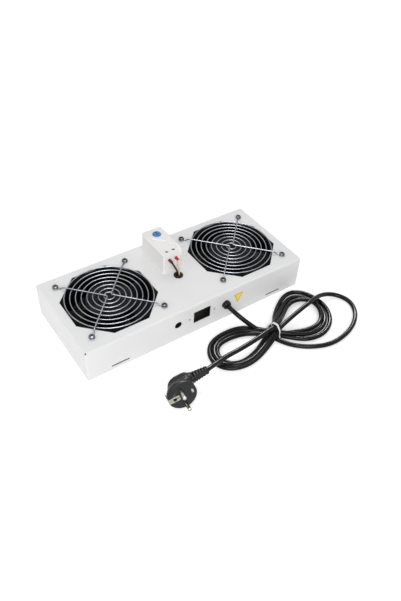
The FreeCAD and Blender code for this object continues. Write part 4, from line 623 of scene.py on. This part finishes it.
# Wires from the thermostat down through the grommet, the fans' own leads, and the cores behind the gland:
# CAD node, finish, radius and points, in millimetres.
RUNS = {
    "thermostat_wire_black": ("wire_black", "wire_black", 1.2, [
        (-4.7, -3, 70), (-3.77, -6.8, 66.4), (-0.05, -10.8, 57.5), (-0.05, -10.6, 44), (-2.5, 3.2, 39),
        (-5, 29.3, 38), (-5, 61.3, 38)]),
    "thermostat_wire_cream": ("wire_cream", "wire_cream", 1.2, [
        (5.7, -3, 70), (5.05, -6.8, 66.4), (2.45, -10.8, 57.5), (2.45, -10.6, 44), (3.7, 3.2, 39),
        (5, 29.3, 38), (5, 61.3, 38)]),
    "fan_wire_left": ("fan_lead_left", "wire_black", 2.0, [
        (-40.2, 22, 13.3), (-33.2, 24, 15.3), (-25.6, 33.8, 29.65), (-15, 43.7, 38), (-15, 61.3, 38)]),
    "fan_wire_right": ("fan_lead_right", "wire_black", 2.0, [
        (40.2, 22, 13.3), (33.2, 24, 15.3), (25.6, 33.8, 29.65), (15, 43.7, 38), (15, 61.3, 38)]),
    "core_wire_live": ("core_live", "core_brown", 1.1, [
        (37.6, -66.8, 26.3), (25.7, -52.2, 20.7), (20.1, -18.85, 20.7), (9, 17.4, 20.7), (15, 41.3, 24),
        (15, 61.3, 24)]),
    "core_wire_neutral": ("core_neutral", "core_blue", 1.1, [
        (39, -66.8, 28.4), (22.5, -52.2, 24), (12.1, -18.85, 24), (3, 17.4, 24), (5, 41.3, 24),
        (5, 61.3, 24)]),
    "core_wire_earth": ("core_earth", "core_green", 1.1, [
        (40.4, -66.8, 26.3), (35.4, -50.75, 28.1), (35.4, -17.4, 30.2), (36.2, 21.75, 32.4),
        (36.2, 50.75, 32.4), (31.5, 69.5, 32.4), (31.5, 69.5, 28)]),
}
for name, (node, look, radius, route) in RUNS.items():
    give(wire(name, points(*route), radius * MM), look, replaced=(node,))

cord = give(wire("mains_cord", ROUTE, CORD_RADIUS), "cord_pvc",
            replaced=("cord_lead", "cord_loop", "cord_hank", "cord_tail"))


# ---------------------------------------------------------------- floor, light and camera

def beside_tray(made):
    """1 on the floor around the tray, and 0 underneath it, where the floor lies in the dark."""
    low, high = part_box("tray")
    axes = made.new("ShaderNodeSeparateXYZ")
    made.link(made.place, axes.inputs["Vector"])
    beyond = [made.calc("SUBTRACT", made.calc("ABSOLUTE", axes.outputs[axis]), (high[i] - low[i]) / 2 - 0.001)
              for i, axis in enumerate("XY")]
    return made.calc("GREATER_THAN", made.calc("MAXIMUM", *beyond), 0.0)


FLOOR_HALF = 6.0
GLOW_NEAR, GLOW_FAR = 0.4, 0.62  # how much the floor glows near the object and far off
GLOW_FROM, GLOW_TO = 0.8, 2.5  # distances between which it changes


def backdrop():
    """Pale floor that shows white to the camera and in reflections and keeps the shadow, with a painted shade
    in dark brown-grey under the tray.
    """
    mesh = bpy.data.meshes.new("floor")
    mesh.from_pydata([(x * FLOOR_HALF, y * FLOOR_HALF, 0) for x, y in ((-1, -1), (1, -1), (1, 1), (-1, 1))],
                     [], [(0, 1, 2, 3)])
    floor = bpy.data.objects.new("floor", mesh)
    bpy.context.collection.objects.link(floor)
    made = Nodes("floor_paper")
    around = beside_tray(made)
    patches = made.spread(made.noise(3.0), 0.3, 0.7, 0.0, 1.0)
    paper = made.blend(patches, colour("f2f2f2"), colour("f4f4f4"))
    # Painted shade: under the tray the floor is dark brown-grey instead of pale paper, and below it gets no
    # glow.
    made.finish(made.blend(around, colour("5a5550"), paper), 0.9)
    path = made.new("ShaderNodeLightPath")
    glow = made.new("ShaderNodeEmission")
    seen = made.calc("MAXIMUM", path.outputs["Is Camera Ray"], path.outputs["Is Glossy Ray"])
    seen = made.calc("MULTIPLY", seen, around)
    reach = made.new("ShaderNodeVectorMath", operation="LENGTH")
    made.link(made.place, reach.inputs[0])
    level = made.spread(reach.outputs["Value"], GLOW_FROM, GLOW_TO, GLOW_NEAR, GLOW_FAR)
    made.link(made.calc("MULTIPLY", seen, level), glow.inputs["Strength"])
    both = made.new("ShaderNodeAddShader")
    made.link(made.shader.outputs[0], both.inputs[0])
    made.link(glow.outputs[0], both.inputs[1])
    made.link(both.outputs[0], made.tree.nodes["Material Output"].inputs["Surface"])
    floor.data.materials.append(made.material)


def sky():
    """White world, at half strength where it lights the object."""
    world = bpy.data.worlds.new("studio")
    bpy.context.scene.world = world
    world.use_nodes = True
    tree = world.node_tree
    path = tree.nodes.new("ShaderNodeLightPath")
    seen = tree.nodes.new("ShaderNodeMath")
    seen.operation = "MAXIMUM"
    tree.links.new(path.outputs["Is Camera Ray"], seen.inputs[0])
    tree.links.new(path.outputs["Is Glossy Ray"], seen.inputs[1])
    level = tree.nodes.new("ShaderNodeMapRange")
    level.inputs["To Min"].default_value = 0.5
    level.inputs["To Max"].default_value = 1.0
    tree.links.new(seen.outputs[0], level.inputs["Value"])
    ground = tree.nodes["Background"]
    ground.inputs["Color"].default_value = (1.0, 1.0, 1.0, 1.0)
    tree.links.new(level.outputs["Result"], ground.inputs["Strength"])


def softbox(name, place, aim, size, power, gloss_on=()):
    """Area lamp; one with names in gloss_on adds highlights to those pieces alone, and no light."""
    lamp = bpy.data.lights.new(name, "AREA")
    lamp.shape = "RECTANGLE"
    lamp.size, lamp.size_y = size
    lamp.energy = power
    made = bpy.data.objects.new(name, lamp)
    bpy.context.collection.objects.link(made)
    made.location = place
    made.rotation_euler = (Vector(aim) - Vector(place)).to_track_quat("-Z", "Y").to_euler()
    if gloss_on:
        made.visible_diffuse = False
        lit = bpy.data.collections.new(name)
        for piece in gloss_on:
            lit.objects.link(bpy.data.objects[piece])
        made.light_linking.receiver_collection = lit


CAMERA_PLACE = (-0.3483, -0.53, 0.6065)
CAMERA_BACK = (-0.4328, -0.5757, 0.6937)
CAMERA_UP = (0.3657, 0.5912, 0.7189)
FOCAL_LENGTH = 36.38


def camera():
    """Stands in front of the tray, left of the middle, and looks down on it."""
    lens = bpy.data.cameras.new("camera")
    lens.sensor_width = 36.0
    lens.lens = FOCAL_LENGTH
    lens.clip_start, lens.clip_end = 0.01, 50.0
    made = bpy.data.objects.new("camera", lens)
    bpy.context.collection.objects.link(made)
    back = Vector(CAMERA_BACK).normalized()
    right = Vector(CAMERA_UP).cross(back).normalized()
    up = back.cross(right)
    turn = Matrix((right, up, back)).transposed().to_4x4()
    made.matrix_world = Matrix.Translation(CAMERA_PLACE) @ turn
    bpy.context.scene.camera = made


backdrop()
sky()
softbox("key", (-0.6, -1.5, 1.0), (0.0, 0.0, 0.0), (1.0, 1.0), 16.0)
softbox("fill", (-1.4, 0.2, 0.9), (0.0, 0.0, 0.02), (1.0, 1.0), 4.0)
softbox("top", (0.5, 0.7, 1.6), (0.0, 0.0, 0.0), (1.4, 1.0), 5.0)
softbox("cord_streak", (0.9, 0.95, 1.2), (0.05, -0.13, 0.0), (0.7, 0.25), 30.0,
        ("mains_cord", "plug_shell", "plug_hood", "plug_strain_relief", "thermostat_wire_black",
         "cable_gland"))
softbox("chrome_streak", (0.0, 0.0, 1.7), (0.0, 0.0, 0.0), (0.9, 0.8), 34.0,
        ("guard_rings_left", "guard_rings_right", "guard_spokes_left", "guard_spokes_right",
         "guard_screws", "plug_pins", "plug_contact"))
camera()
bpy.context.scene.view_settings.view_transform = "Standard"
